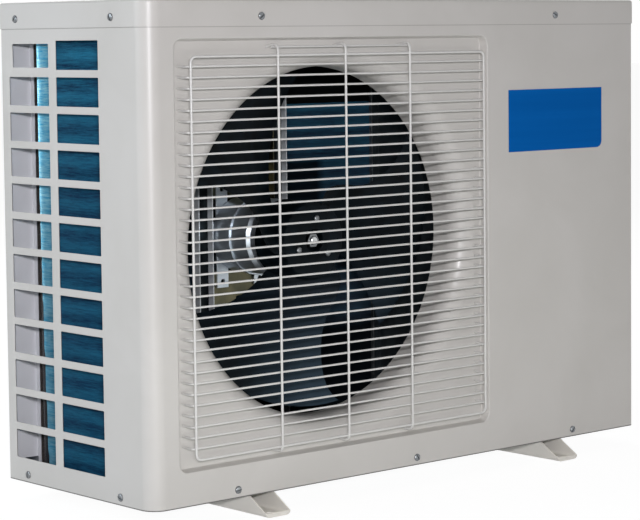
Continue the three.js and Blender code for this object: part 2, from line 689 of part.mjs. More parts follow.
function rearGuard() {
  const { left: x0, bottom: z0, radius, wire, weld, levels, uprights } = guard;
  const x1 = partitionX + guard.beyondPartition;
  const z1 = casing.height - guard.belowTop;
  const outerY = casing.depth - skin + clearance + wire / 2;
  const crossedY = outerY + wire - weld;
  const wires = [wireLoop(x0, z0, x1, z1, radius, wire, outerY)];
  for (let i = 1; i <= uprights; i += 1) {
    const x = x0 + (x1 - x0) * i / (uprights + 1);
    wires.push(rod([at(x, crossedY, z0 - wire / 2), at(x, crossedY, z1 + wire / 2)], wire / 2,
      round.guardSides));
  }
  for (let i = 1; i <= levels; i += 1) {
    const z = z0 + (z1 - z0) * i / (levels + 1);
    wires.push(rod([at(x0, outerY, z), at(x1, outerY, z)], wire / 2, round.guardSides,
      Math.PI / round.guardSides));
  }
  return join(wires);
}

// ---------------------------------------------------------------- air side

// The coil's outline in plan: a leg up the left side, a bend at the rear left and a leg along the rear.
function coilOutline(grow) {
  const { frontEnd, thickness, bendRadius } = coil;
  const x0 = coilOuterX - grow;
  const y1 = coilOuterY + grow;
  const centre = new THREE.Vector2(coilOuterX + bendRadius, coilOuterY - bendRadius);
  const points = [new THREE.Vector2(x0, frontEnd - grow)];
  const arc = (radius, from, to) => {
    for (let i = 0; i <= coil.bendSegments; i += 1) {
      points.push(around(centre, radius, from + (to - from) * i / coil.bendSegments));
    }
  };
  arc(bendRadius + grow, Math.PI, Math.PI / 2);
  points.push(new THREE.Vector2(coilRight + grow, y1));
  points.push(new THREE.Vector2(coilRight + grow, coilOuterY - thickness - grow));
  arc(bendRadius - thickness - grow, Math.PI / 2, Math.PI);
  points.push(new THREE.Vector2(coilOuterX + thickness + grow, frontEnd - grow));
  return points;
}

// The place on the coil's middle line at a distance from its front end, and the way out of the case there.
function alongCoil(distance) {
  const radius = coil.bendRadius - coil.thickness / 2;
  const leg = coilOuterY - coil.bendRadius - coil.frontEnd;
  const bend = radius * Math.PI / 2;
  const turn = Math.PI - THREE.MathUtils.clamp((distance - leg) / bend, 0, 1) * Math.PI / 2;
  const outward = new THREE.Vector2(Math.cos(turn), Math.sin(turn));
  const middle = new THREE.Vector2(coilOuterX + coil.bendRadius, coilOuterY - coil.bendRadius)
    .addScaledVector(outward, radius);
  middle.x += Math.max(distance - leg - bend, 0);
  middle.y -= Math.max(leg - distance, 0);
  return { middle, outward };
}

// The fin block, its packs of fins standing out as ribs on both faces.
function evaporatorCoil() {
  const { bendRadius, thickness, frontEnd, ribs, ribShare, ribDepth } = coil;
  const legs = coilOuterY - bendRadius - frontEnd + coilRight - coilOuterX - bendRadius;
  const pitch = (legs + (bendRadius - thickness / 2) * Math.PI / 2) / (ribs - 1 + ribShare);
  const face = (side) => {
    const points = [];
    for (let i = 0; i < ribs; i += 1) {
      const ends = [i * pitch, (i + ribShare) * pitch].map(alongCoil);
      const reach = [thickness / 2 - ribDepth, thickness / 2];
      const [low, high] = reach.map((depth) => ends.map(({ middle, outward }) => middle.clone()
        .addScaledVector(outward, side * depth)));
      if (i > 0) points.push(low[0]);
      points.push(high[0], high[1]);
      if (i < ribs - 1) points.push(low[1]);
    }
    return points;
  };
  return standing([...face(1), ...face(-1).reverse()], coilBottom, coilTop);
}

// A folded sheet that hangs on the coil's top and shuts off the upper rows of its rear leg.
function coilBlankSheet() {
  const { drop, besideBracket, beforeEnd, sheet } = coilBlank;
  const x0 = fanAxis.x + bracket.legOffset + bracket.legWidth / 2 + besideBracket;
  const x1 = coilRight - beforeEnd;
  const rear = coilInnerY - clearance;
  const top = coilTop + clearance + sheet;
  return join([
    box(x0, x1, rear - sheet, rear, coilTop - drop, top),
    box(x0, x1, rear - sheet, coilOuterY, top - sheet, top),
  ]);
}

// The sheet that closes the coil's front end.
function coilFrontSheet() {
  const { frontEnd, thickness, plate, plateLip } = coil;
  const rear = frontEnd - clearance;
  return box(coilOuterX - plateLip, coilOuterX + thickness + plateLip, rear - plate, rear,
    coilBottom, coilTop);
}

// The sheet on the coil's right end, with the return bends that join its tubes in pairs.
function coilTubeSheet() {
  const { thickness, plate, plateLip, tubeRadius, tubeSpacing, bendReach } = coil;
  const start = sheetStart + plate / 2;
  const reach = sheetStart + bendReach;
  const parts = [box(sheetStart, sheetStart + plate, coilOuterY - thickness - plateLip,
    coilOuterY + plateLip, coilBottom, coilTop)];
  for (let i = 0; i < bendCount; i += 1) {
    const z = coil.firstBend + i * coil.bendPitch;
    parts.push(rod(rounded([
      at(start, coilMiddleY, z), at(reach, coilMiddleY, z),
      at(reach, coilMiddleY, z + tubeSpacing), at(start, coilMiddleY, z + tubeSpacing)],
    tubeSpacing / 2 - clearance, 2), tubeRadius, 4));
  }
  return join(parts);
}

// One blade as a closed curved plate, pitched and cambered. Its front edge runs wide at the root and
// hooks forward at the tip, and its back edge sweeps away.
function fanBlade(turn) {
  const { hubRadius, rootSink, front, back, thickness, camber } = fan;
  const [ringCount, stepCount] = [fan.bladeRings, fan.bladeSteps];
  const skins = [0, 1].map((side) => {
    const points = [];
    for (let i = 0; i <= ringCount; i += 1) {
      const s = i / ringCount;
      const r = hubRadius - rootSink + (fanRadius - hubRadius + rootSink) * s;
      const ahead = bladeEdge.front + bladeEdge.hook * s ** bladeEdge.hookRise
        + bladeEdge.root / (1 + (s / bladeEdge.rootShare) ** bladeEdge.rootFall);
      const behind = bladeEdge.back + bladeEdge.sweep * s;
      for (let j = 0; j <= stepCount; j += 1) {
        const t = j / stepCount;
        const angle = THREE.MathUtils.degToRad(turn + THREE.MathUtils.lerp(-behind, ahead, t));
        const bow = camber * 4 * t * (1 - t);
        const y = front + (back - front - thickness) * (1 - t) - bow * s + side * thickness;
        points.push(at(r * Math.cos(angle), y, r * Math.sin(angle)));
      }
    }
    return points;
  });
  const row = stepCount + 1;
  const count = skins[0].length;
  const index = [];
  for (let i = 0; i < ringCount; i += 1) {
    for (let j = 0; j < stepCount; j += 1) {
      const a = i * row + j;
      index.push(a, a + 1, a + row, a + 1, a + row + 1, a + row);
      index.push(count + a, count + a + row, count + a + 1);
      index.push(count + a + 1, count + a + row, count + a + row + 1);
    }
  }
  const rim = [];
  for (let j = 0; j < stepCount; j += 1) rim.push(j);
  for (let i = 0; i < ringCount; i += 1) rim.push(i * row + stepCount);
  for (let j = stepCount; j > 0; j -= 1) rim.push(ringCount * row + j);
  for (let i = ringCount; i > 0; i -= 1) rim.push(i * row);
  rim.forEach((a, k) => {
    const b = rim[(k + 1) % rim.length];
    index.push(a, count + a, b, b, count + a, count + b);
  });
  const blade = new THREE.BufferGeometry();
  blade.setAttribute('position', new THREE.Float32BufferAttribute(
    [...skins[0], ...skins[1]].flatMap((p) => p.toArray()), 3));
  blade.setIndex(index);
  return solid(blade.translate(fanAxis.x, 0, fanAxis.z));
}

function fanWheel() {
  const { hubRadius, hubFront, hubLength, hubRound, pocket, pocketDepth } = fan;
  const bore = shaft.radius + clearance;
  const rear = hubFront + hubLength;
  const hub = turned([
    [bore, hubFront + pocketDepth], [pocket, hubFront + pocketDepth], [pocket, hubFront],
    [hubRadius - hubRound, hubFront], [hubRadius, hubFront + hubRound], [hubRadius, rear],
    [bore, rear], [bore, hubFront + pocketDepth]], round.hubSegments, 'y', at(fanAxis.x, 0, fanAxis.z));
  const blades = [];
  for (let i = 0; i < fan.blades; i += 1) blades.push(fanBlade(fan.phase + i * 360 / fan.blades));
  const floor = hubFront + pocketDepth;
  const room = turned([[0, hubFront - cutMargin], [pocket, hubFront - cutMargin], [pocket, floor],
    [bore, floor], [bore, rear + cutMargin], [0, rear + cutMargin]],
  round.hubSegments, 'y', at(fanAxis.x, 0, fanAxis.z));
  return join([hub, ...blades]).subtract(room);
}

function motorShaft() {
  const tip = fan.hubFront + fan.pocketDepth - shaft.stickOut;
  return turned([[0, tip], [shaft.radius - shaft.tipEdge, tip], [shaft.radius, tip + shaft.tipEdge],
    [shaft.radius, motor.front + motor.bearing - clearance], [0, motor.front + motor.bearing - clearance]],
  round.portSegments, 'y', at(fanAxis.x, 0, fanAxis.z));
}

function fanNut() {
  const seat = fan.hubFront + fan.pocketDepth - clearance;
  const front = seat - shaft.nutLength;
  return acrossY(circle(fanAxis.x, fanAxis.z, shaft.nutRadius, round.hexagon), front, seat)
    .subtract(acrossY(circle(fanAxis.x, fanAxis.z, shaft.radius + clearance, round.portSegments),
      front - cutMargin, seat + cutMargin));
}

// Screw holes through the motor's lugs and the bracket's cross plates.
function motorHoles() {
  const plane = motor.front + motor.length;
  const holes = [];
  for (const [sx, sz] of [[-1, -1], [1, -1], [1, 1], [-1, 1]]) {
    const outline = circle(fanAxis.x + sx * motor.lugX, fanAxis.z + sz * motor.holeZ, motor.hole,
      round.tubeSegments);
    holes.push(acrossY(outline, plane - motor.lugThickness - cutMargin,
      plane + clearance + bracket.sheet + cutMargin));
  }
  return holes;
}

function fanMotor() {
  const { radius, front, length, bearing, boss, bossReach, edge, seam, seamStep } = motor;
  const rear = front + length;
  const [seamStart, seamEnd] = [front + (length - seam) / 2, front + (length + seam) / 2];
  const bore = shaft.radius + clearance;
  const can = turned([
    [bore, front - bossReach], [boss, front - bossReach], [boss, front], [radius - edge, front],
    [radius, front + edge], [radius, seamStart], [radius + seamStep, seamStart],
    [radius + seamStep, seamEnd], [radius, seamEnd], [radius, rear - edge], [radius - edge, rear],
    [0, rear], [0, front + bearing], [bore, front + bearing],
    [bore, front - bossReach]], round.drumSegments, 'y', at(fanAxis.x, 0, fanAxis.z));
  const lugs = [];
  for (const [sx, sz] of [[-1, -1], [1, -1], [1, 1], [-1, 1]]) {
    const x = fanAxis.x + sx * motor.lugX;
    const near = fanAxis.z + sz * motor.lugStart;
    const far = fanAxis.z + sz * motor.lugEnd;
    lugs.push(box(x - motor.lug, x + motor.lug, rear - motor.lugThickness, rear,
      Math.min(near, far), Math.max(near, far)));
  }
  return cut(join([can, ...lugs]), motorHoles());
}

function motorBracket() {
  const { legWidth, legOffset, flange, sheet, plateHeight, plateDrop } = bracket;
  const { slotWidth, slotHeight, slotDrop } = bracket;
  const y0 = motor.front + motor.length + clearance;
  const y1 = y0 + sheet;
  const bottom = pan.floor + clearance;
  const strap = coilTop + clearance;
  const parts = [];
  const slots = [];
  for (const side of [-1, 1]) {
    const x = fanAxis.x + side * legOffset;
    parts.push(box(x - legWidth / 2, x + legWidth / 2, y0, y1, bottom, strap + sheet));
    for (const edge of [x - legWidth / 2, x + legWidth / 2 - sheet]) {
      parts.push(box(edge, edge + sheet, y0 - flange, y0 + sheet / 2, bottom, strap));
    }
    const plateZ = fanAxis.z + side * plateDrop;
    parts.push(box(fanAxis.x - legOffset, fanAxis.x + legOffset, y0, y1,
      plateZ - plateHeight / 2, plateZ + plateHeight / 2));
    parts.push(box(x - legWidth / 2, x + legWidth / 2, y0, coilOuterY, strap, strap + sheet));
    const slotZ = plateZ + side * slotDrop;
    slots.push(acrossY(evenRect(fanAxis.x - slotWidth / 2, slotZ - slotHeight / 2,
      fanAxis.x + slotWidth / 2, slotZ + slotHeight / 2, slotHeight / 2), y0 - cutMargin, y1 + cutMargin));
  }
  return cut(join(parts), [...slots, ...motorHoles()]);
}

// ---------------------------------------------------------------- refrigerant side

function partitionPanel() {
  const { flange, sheet } = partition;
  const front = panInner + clearance;
  const rear = coilOuterY - coil.thickness - coil.plateLip + clearance;
  const bottom = pan.floor + clearance;
  return join([
    box(partitionX, partitionX + sheet, front, rear, bottom, coverBottom),
    box(partitionX + sheet / 2, partitionX + flange, front, front + sheet, bottom, coverBottom),
    box(coilFace, partitionX + sheet / 2, rear - sheet, rear, bottom, coverBottom),
  ]);
}

function compressorBody() {
  const { radius, bowl, dome, domeEdge, plate, lobe, seam, seamBelowTop, stubX, stubY, stub } = compressor;
  const { lid, lidLow, lidHigh } = compressor;
  const { x, y } = compressorPlace;
  const low = plateBottom - bowl;
  const seamZ = compressorTop - seamBelowTop;
  const shell = turned([
    [0, low], [radius - bowl, low], [radius, low + bowl], [radius, seamZ - seam],
    [radius + seam, seamZ - seam], [radius + seam, seamZ + seam], [radius, seamZ + seam],
    [radius, compressorTop - dome], [radius - dome / 2, compressorTop - domeEdge],
    [radius / 2, compressorTop], [0, compressorTop]], round.drumSegments, 'z', at(x, y, 0));
  const base = standing(lobes(lobe), plateBottom, plateBottom + plate);
  const stubTop = compressorTop + compressor.stubReach;
  const outlet = rod([at(x + stubX, y + stubY, compressorTop - dome), at(x + stubX, y + stubY, stubTop)],
    stub, pipework.sides);
  const front = y - radius;
  const cap = box(x - lid, x + lid, front - lid / 2, front + lid, low + lidLow, low + lidHigh);
  const holes = [];
  for (let i = 0; i < grommet.count; i += 1) {
    const place = grommetPlace(i);
    holes.push(standing(circle(place.x, place.y, grommet.waist + clearance, round.tubeSegments),
      plateBottom - cutMargin, plateBottom + plate + cutMargin));
  }
  return cut(join([shell, base, outlet, cap]), holes);
}

function rubberGrommet(i) {
  const { radius, waist, topRadius, topHeight, height } = grommet;
  const shoulder = grommetBottom + height;
  const neckTop = plateBottom + compressor.plate + clearance;
  return turned([[0, grommetBottom], [radius, grommetBottom], [radius, shoulder], [waist, shoulder],
    [waist, neckTop], [topRadius, neckTop], [topRadius, neckTop + topHeight], [0, neckTop + topHeight]],
  round.tubeSegments, 'z', grommetPlace(i));
}

function suctionAccumulator() {
  const { radius, bottom, tube, tubeZ, stub } = accumulator;
  const { x, y } = compressorPlace;
  const shoulder = radius / 2;
  const can = turned([[0, bottom], [shoulder, bottom], [radius, bottom + shoulder],
    [radius, accumulatorTop - shoulder], [shoulder, accumulatorTop], [0, accumulatorTop]],
  round.portSegments, 'z', at(accumulatorX, y, 0));
  const inlet = rod([at(accumulatorX, y, accumulatorTop - shoulder),
    at(accumulatorX, y, accumulatorTop + stub)], pipework.suction, pipework.sides);
  const outlet = rod(rounded([at(accumulatorX, y, bottom + shoulder), at(accumulatorX, y, tubeZ),
    at(x + compressor.radius + clearance, y, tubeZ)], pipework.bend, 2), tube, pipework.sides);
  return join([can, inlet, outlet]);
}

function reversingValveBody() {
  const { length, radius, end, stub, pitch, solenoid, solenoidOffset, solenoidReach } = reversingValve;
  const { solenoidHeight } = reversingValve;
  const { y } = compressorPlace;
  const half = length / 2;
  const barrel = turned([[0, -half], [radius - end, -half], [radius, end - half], [radius, half - end],
    [radius - end, half], [0, half]], round.tubeSegments, 'x', at(valveX, y, valveZ));
  const inlet = rod([at(valveX, y, valveZ), at(valveX, y, valveZ + stub)], pipework.gas, pipework.sides);
  const outlets = [-1, 0, 1].map((side) => {
    const x = valveX + side * pitch;
    const radiusHere = side === 0 ? pipework.suction : pipework.gas;
    return rod([at(x, y, valveZ), at(x, y, valveLow)], radiusHere, pipework.sides);
  });
  const solenoidX = valveX + solenoidOffset;
  const magnet = box(solenoidX - solenoid / 2, solenoidX + solenoid / 2, y - solenoidReach, y,
    valveZ - solenoidHeight / 2, valveZ + solenoidHeight / 2);
  return join([barrel, inlet, ...outlets, magnet]);
}

function expansionValveBody() {
  const { radius, length, stub, neck } = expansionValve;
  return turned([[0, -length - stub], [neck, -length - stub], [neck, -length], [radius, -length],
    [radius, 0], [neck, 0], [neck, stub], [0, stub]],
  round.tubeSegments, 'z', at(expansionX, exchangerY, exchangerTop));
}

function pipe(corners, radius, bend) {
  return rod(rounded(corners, bend, 2), radius, pipework.sides);
}

function dischargePipe() {
  const { x, y } = compressorPlace;
  const [fromX, fromY] = [x + compressor.stubX, y + compressor.stubY];
  return pipe([
    at(fromX, fromY, compressorTop + compressor.stubReach + clearance),
    at(fromX, fromY, dischargeTop),
    at(valveX, y, dischargeTop),
    at(valveX, y, valveZ + reversingValve.stub + clearance)], pipework.hot, pipework.bend);
}

function suctionPipe() {
  const { y } = compressorPlace;
  return pipe([
    at(valveX, y, valveLow - clearance),
    at(valveX, y, suctionZ),
    at(accumulatorX, y, suctionZ),
    at(accumulatorX, y, accumulatorTop + accumulator.stub + clearance)], pipework.suction, pipework.bend);
}

function coilGasPipe() {
  const { y } = compressorPlace;
  const x = valveX - reversingValve.pitch;
  return pipe([
    at(x, y, valveLow - clearance),
    at(x, y, coilGasZ),
    at(x, coilMiddleY - pipework.gasTurn, coilGasZ),
    at(x - 2 * pipework.gasTurn, coilMiddleY, coilGasZ),
    at(coilFace, coilMiddleY, coilGasZ)], pipework.gas, pipework.tightBend);
}

function exchangerGasPipe() {
  const { y } = compressorPlace;
  const x = valveX + reversingValve.pitch;
  const turnY = exchangerY - pipework.beforeExchanger;
  const low = valveZ - pipework.exchangerDrop;
  const high = dischargeTop + pipework.exchangerRise;
  const portX = exchangerX - exchanger.portOffset;
  return pipe([
    at(x, y, valveLow - clearance),
    at(x, y, low),
    at(x, turnY, low),
    at(x, turnY, high),
    at(portX, exchangerY, high),
    at(portX, exchangerY, exchangerTop + exchanger.portReach + clearance)],
  pipework.gas, pipework.tightBend);
}

function liquidPipe() {
  const portX = exchangerX + exchanger.portOffset;
  const high = dischargeTop + pipework.liquidRise;
  return pipe([
    at(portX, exchangerY, exchangerTop + exchanger.portReach + clearance),
    at(portX, exchangerY, high),
    at(expansionX, exchangerY, high),
    at(expansionX, exchangerY, exchangerTop + expansionValve.stub + clearance)],
  pipework.liquid, pipework.bend);
}

function coilLiquidPipe() {
  const start = exchangerTop - expansionValve.length - expansionValve.stub - clearance;
  return pipe([
    at(expansionX, exchangerY, start),
    at(expansionX, exchangerY, coilLiquidZ),
    at(expansionX, coilMiddleY, coilLiquidZ),
    at(coilFace, coilMiddleY, coilLiquidZ)], pipework.liquid, pipework.bend);
}

// ---------------------------------------------------------------- water side

function waterExchanger() {
  const { radius, capRadius, capHeight, edge, port, portOffset, portReach, boreDepth } = exchanger;
  const bottom = padTop + clearance;
  const parts = [turned([
    [0, bottom], [capRadius, bottom], [capRadius, bottom + capHeight], [radius, bottom + capHeight],
    [radius, exchangerTop - capHeight], [capRadius, exchangerTop - capHeight],
    [capRadius, exchangerTop - edge], [capRadius - edge, exchangerTop], [0, exchangerTop]],
  round.drumSegments, 'z', at(exchangerX, exchangerY, 0))];
  for (const side of [-1, 1]) {
    const portX = exchangerX + side * portOffset;
    parts.push(rod([at(portX, exchangerY, exchangerTop - edge),
      at(portX, exchangerY, exchangerTop + portReach)], port, pipework.sides));
  }
  for (const z of unionHeights) {
    parts.push(turned([[0, exchangerX], [union.pipe, exchangerX], [union.pipe, exchangerEnd],
      [0, exchangerEnd]], round.portSegments, 'x', at(0, exchangerY, z)));
  }
  const bores = unionHeights.map((z) => turned([
    [0, exchangerEnd - boreDepth], [union.bore, exchangerEnd - boreDepth],
    [union.bore, exchangerEnd + cutMargin], [0, exchangerEnd + cutMargin]],
  round.portSegments, 'x', at(0, exchangerY, z)));
  return cut(join(parts), bores);
}

function unionBody(z) {
  const { bore, pipe: tube, collar, thread } = union;
  const start = exchangerEnd + clearance;
  return turned([[bore, start], [tube, start], [tube, collarStart], [collar, collarStart],
    [collar, collarEnd], [thread, collarEnd], [thread, threadEnd], [bore, threadEnd], [bore, start]],
  round.portSegments, 'x', at(0, exchangerY, z));
}

function unionTail(z) {
  const { bore, pipe: tube, thread, lip } = union;
  return turned([[bore, tailStart], [thread - clearance, tailStart], [thread - clearance, tailStart + lip],
    [tube, tailStart + lip], [tube, farRight], [bore, farRight], [bore, tailStart]],
  round.portSegments, 'x', at(0, exchangerY, z));
}

// A union nut: ribbed outside, bored to clear the thread and stepped in behind the tail's lip.
function unionNut(z) {
  const { nutRadius, nutRoot, nutWall, ribs, ribRise, ribTop, ribFall, thread, play, lip } = union;
  const { pipe: tube, nutGap } = union;
  const start = collarEnd + nutGap;
  const step = tailStart + lip + clearance;
  const end = step + nutWall;
  const outline = [];
  for (let i = 0; i < ribs; i += 1) {
    const corners = [[0, nutRoot], [ribRise, nutRoot], [ribTop, nutRadius], [ribFall, nutRadius]];
    for (const [share, radius] of corners) {
      const angle = (i + share) / ribs * 2 * Math.PI;
      outline.push(new THREE.Vector2(
        exchangerY + radius * Math.cos(angle), z + radius * Math.sin(angle)));
    }
  }
  const room = turned([[0, start - cutMargin], [thread + play, start - cutMargin], [thread + play, step],
    [tube + play, step], [tube + play, end + cutMargin], [0, end + cutMargin]],
  round.portSegments, 'x', at(0, exchangerY, z));
  return acrossX(outline, start, end).subtract(room);
}

// ---------------------------------------------------------------- electric parts

function electricTray() {
  const { front, fromRear, sheet, fold } = electricBox;
  const left = partitionX + partition.sheet + clearance;
  const rear = casing.depth - fromRear;
  const tray = box(left, boxRight, front, rear, boxBottom, boxTop)
    .subtract(box(left + sheet, boxRight - sheet, front + sheet, rear - sheet,
      boxBottom + sheet, boxTop + cutMargin));
  const rims = [
    box(left, boxRight, rear - fold, rear, boxTop - sheet, boxTop),
    box(left, boxRight, front, front + fold, boxTop - sheet, boxTop),
  ];
  const { width, depth, post, postInset, lift } = board;
  const posts = [];
  for (const x of [boardLeft + postInset, boardLeft + width - postInset]) {
    for (const y of [board.front + postInset, board.front + depth - postInset]) {
      posts.push(standing(circle(x, y, post, pipework.sides), boxBottom + sheet / 2,
        boxBottom + sheet + lift));
    }
  }
  return join([tray, ...rims, ...posts]);
}

function controlBoard() {
  const { width, front, depth, thickness, lift } = board;
  const under = boxBottom + electricBox.sheet + lift + clearance;
  const plate = box(boardLeft, boardLeft + width, front, front + depth, under, under + thickness);
  const blocks = [relay, transformer, filterBlock, heatSink].map((part) => {
    const x = boardLeft + part.left;
    const y = front + part.front;
    return box(x, x + part.width, y, y + part.depth, under + thickness / 2, under + thickness + part.height);
  });
  return join([plate, ...blocks]);
}

function runCapacitor() {
  const { fromRight, radius, front, length, neck, neckReach } = capacitor;
  const z = boxBottom + electricBox.sheet + clearance + radius;
  return turned([[0, -neckReach], [neck, -neckReach], [neck, 0], [radius, 0], [radius, length],
    [0, length]], round.portSegments, 'y', at(casing.width - fromRight, front, z));
}

function terminalBlock() {
  const { front, width, lift, height, reach, ways, slotHeight, slotDepth, wall } = terminal;
  const seat = boxRight + clearance;
  const pitch = (width - wall) / ways;
  const bottom = boxBottom + lift;
  const middle = bottom + height / 2;
  const slots = [];
  for (let i = 0; i < ways; i += 1) {
    const start = front + wall + i * pitch;
    slots.push(box(seat + reach - slotDepth, seat + reach + cutMargin, start, start + pitch - wall,
      middle - slotHeight / 2, middle + slotHeight / 2));
  }
  return cut(box(seat, seat + reach, front, front + width, bottom, bottom + height), slots);
}

function cableGland() {
  const { y, belowCover, thread, inside, body, bodyWidth, cap, capWidth, bore } = gland;
  const seat = panelFace + clearance;
  return turned([[bore, seat - inside], [thread, seat - inside], [thread, seat], [body, seat],
    [body, seat + bodyWidth], [cap, seat + bodyWidth], [cap, seat + bodyWidth + capWidth],
    [bore, seat + bodyWidth + capWidth], [bore, seat - inside]],
  round.tubeSegments, 'x', at(0, y, serviceBottom - belowCover));
}

// ---------------------------------------------------------------- finishes

const finish = (color, roughness, metalness) => new THREE.MeshStandardMaterial({
  color, roughness, metalness, flatShading: true,
});

const paint = finish(0xc6c5c2, 0.42, 0);
const galvanised = finish(0xa9adb0, 0.45, 0.85);
const coatedWire = finish(0xd8d8d8, 0.35, 0);
const blueFins = finish(0x1567b8, 0.4, 0.5);
const darkPlastic = finish(0x303338, 0.5, 0);
const motorShell = finish(0xb4b6b8, 0.4, 0.8);
const brightSteel = finish(0xc9cbcd, 0.25, 1);
const yellowZinc = finish(0xb3a065, 0.4, 0.8);
const blackPaint = finish(0x17181a, 0.45, 0);
const blackRubber = finish(0x1c1c1c, 0.85, 0);
const copper = finish(0xb87047, 0.32, 1);
const brass = finish(0xb9974a, 0.35, 1);
const greyPipePlastic = finish(0x6f757b, 0.5, 0);
const greyPlastic = finish(0xb9b9b6, 0.5, 0);
const boardGreen = finish(0x1f6a42, 0.5, 0);
const paleCan = finish(0xd0d2d3, 0.35, 0.7);
const ivoryPlastic = finish(0xe2ddcc, 0.5, 0);

// ---------------------------------------------------------------- assembly

const unit = new THREE.Group();
unit.name = 'heat_pump_unit';

function place(name, body, material) {
  const { vertProperties, triVerts } = body
    .translate(-farRight / 2, -casing.depth / 2, foot.height).getMesh();
  const geometry = new THREE.BufferGeometry();
  geometry.setAttribute('position', new THREE.Float32BufferAttribute(vertProperties, 3));
  geometry.setIndex(new THREE.Uint32BufferAttribute(triVerts, 1));
  geometry.computeVertexNormals();
  const mesh = new THREE.Mesh(geometry, material);
  mesh.name = name;
  unit.add(mesh);
}

place('front_panel', frontPanel(), paint);
place('fan_ring', fanRing(), paint);
place('top_cover', topCover(), paint);
place('service_panel', servicePanel(), paint);
place('service_cover', serviceCoverShell(), greyPlastic);
place('base_pan', basePan(), galvanised);
place('foot_left', channelFoot(foot.inset), paint);
place('foot_right', channelFoot(casing.width - foot.inset), paint);
place('drain_spigot', drainSpigot(), darkPlastic);
place('wire_grille', wireGrille(), coatedWire);
place('rear_guard', rearGuard(), coatedWire);
place('evaporator_coil', evaporatorCoil(), blueFins);
place('coil_front_sheet', coilFrontSheet(), galvanised);
place('coil_tube_sheet', coilTubeSheet(), galvanised);
place('coil_blank', coilBlankSheet(), blackPaint);
place('fan_wheel', fanWheel(), darkPlastic);
place('fan_nut', fanNut(), brightSteel);
place('motor_shaft', motorShaft(), brightSteel);
place('fan_motor', fanMotor(), motorShell);
place('motor_bracket', motorBracket(), yellowZinc);
place('partition_panel', partitionPanel(), galvanised);
place('compressor', compressorBody(), blackPaint);
for (let i = 0; i < grommet.count; i += 1) {
  place(`compressor_grommet_${i + 1}`, rubberGrommet(i), blackRubber);
}
place('suction_accumulator', suctionAccumulator(), blackPaint);
place('reversing_valve', reversingValveBody(), brass);
place('expansion_valve', expansionValveBody(), brass);
place('discharge_pipe', dischargePipe(), copper);
place('suction_pipe', suctionPipe(), copper);
place('coil_gas_pipe', coilGasPipe(), copper);
place('exchanger_gas_pipe', exchangerGasPipe(), copper);
place('liquid_pipe', liquidPipe(), copper);
place('coil_liquid_pipe', coilLiquidPipe(), copper);
place('water_heat_exchanger', waterExchanger(), darkPlastic);
['water_inlet', 'water_outlet'].forEach((name, i) => {
  const z = unionHeights[i];
  place(`${name}_union`, unionBody(z), greyPipePlastic);
  place(`${name}_tail`, unionTail(z), greyPipePlastic);
  place(`${name}_nut`, unionNut(z), darkPlastic);
});
place('electric_box', electricTray(), galvanised);
place('control_board', controlBoard(), boardGreen);
place('run_capacitor', runCapacitor(), paleCan);
place('terminal_block', terminalBlock(), ivoryPlastic);
place('cable_gland', cableGland(), darkPlastic);

export default unit;
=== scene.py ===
import math

import bmesh
import bpy
from mathutils import Matrix, Vector, geometry


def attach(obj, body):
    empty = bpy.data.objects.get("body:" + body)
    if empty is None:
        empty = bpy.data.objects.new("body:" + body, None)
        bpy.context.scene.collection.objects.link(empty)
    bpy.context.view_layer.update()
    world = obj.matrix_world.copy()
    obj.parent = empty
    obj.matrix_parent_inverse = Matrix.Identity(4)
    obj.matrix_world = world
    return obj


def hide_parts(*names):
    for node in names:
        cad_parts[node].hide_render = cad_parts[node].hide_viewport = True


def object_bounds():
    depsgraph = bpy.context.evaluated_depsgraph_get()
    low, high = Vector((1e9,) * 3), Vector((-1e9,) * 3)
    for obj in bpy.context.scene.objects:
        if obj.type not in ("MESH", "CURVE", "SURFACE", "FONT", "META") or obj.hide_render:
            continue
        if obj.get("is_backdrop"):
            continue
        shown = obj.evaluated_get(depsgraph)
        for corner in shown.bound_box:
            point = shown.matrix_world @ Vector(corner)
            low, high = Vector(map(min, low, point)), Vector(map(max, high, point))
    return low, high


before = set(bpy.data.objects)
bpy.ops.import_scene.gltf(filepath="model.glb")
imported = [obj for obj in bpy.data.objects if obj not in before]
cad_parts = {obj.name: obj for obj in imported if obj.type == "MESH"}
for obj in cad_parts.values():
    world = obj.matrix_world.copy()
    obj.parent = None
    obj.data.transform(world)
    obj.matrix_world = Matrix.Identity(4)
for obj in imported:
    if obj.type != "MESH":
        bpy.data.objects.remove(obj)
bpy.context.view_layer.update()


# ---------------------------------------------------------------- base pan
# The floor of the unit: a galvanised steel tray, deep drawn, with raised pads pressed up under the coil,
# the compressor and the heat exchanger, and a plastic drain spigot pushed through its floor.

# The frame's origin and the case's middle, in mm from the case's left side, front and bottom. Points
# nearer than MERGE metres are one point, and faces within FLAT degrees are one face.
ORIGIN = (436, 146, -23)
CASE_MIDDLE = (410, 146, 288)
MERGE, FLAT = 2e-6, 0.4


def case_point(x, y, z):
    """A point in mm from the case's left side, front and bottom, in the shared frame in metres."""
    return Vector([(value - start) / 1000 for value, start in zip((x, y, z), ORIGIN)])


def case_z(z):
    """A height in mm over the case's bottom, in the shared frame in metres."""
    return case_point(0, 0, z)[2]


def linear(code):
    """An sRGB hex colour as linear red, green, blue and alpha."""
    parts = [int(code[i:i + 2], 16) / 255 for i in (1, 3, 5)]
    return [c / 12.92 if c <= 0.04045 else ((c + 0.055) / 1.055) ** 2.4 for c in parts] + [1]


def add(tree, kind, inputs=None, **settings):
    """Adds a node with its settings; an input takes a value or another node's output."""
    node = tree.nodes.new(kind)
    for name, value in settings.items():
        setattr(node, name, value)
    for name, value in (inputs or {}).items():
        if isinstance(value, bpy.types.NodeSocket):
            tree.links.new(value, node.inputs[name])
        else:
            node.inputs[name].default_value = value
    return node


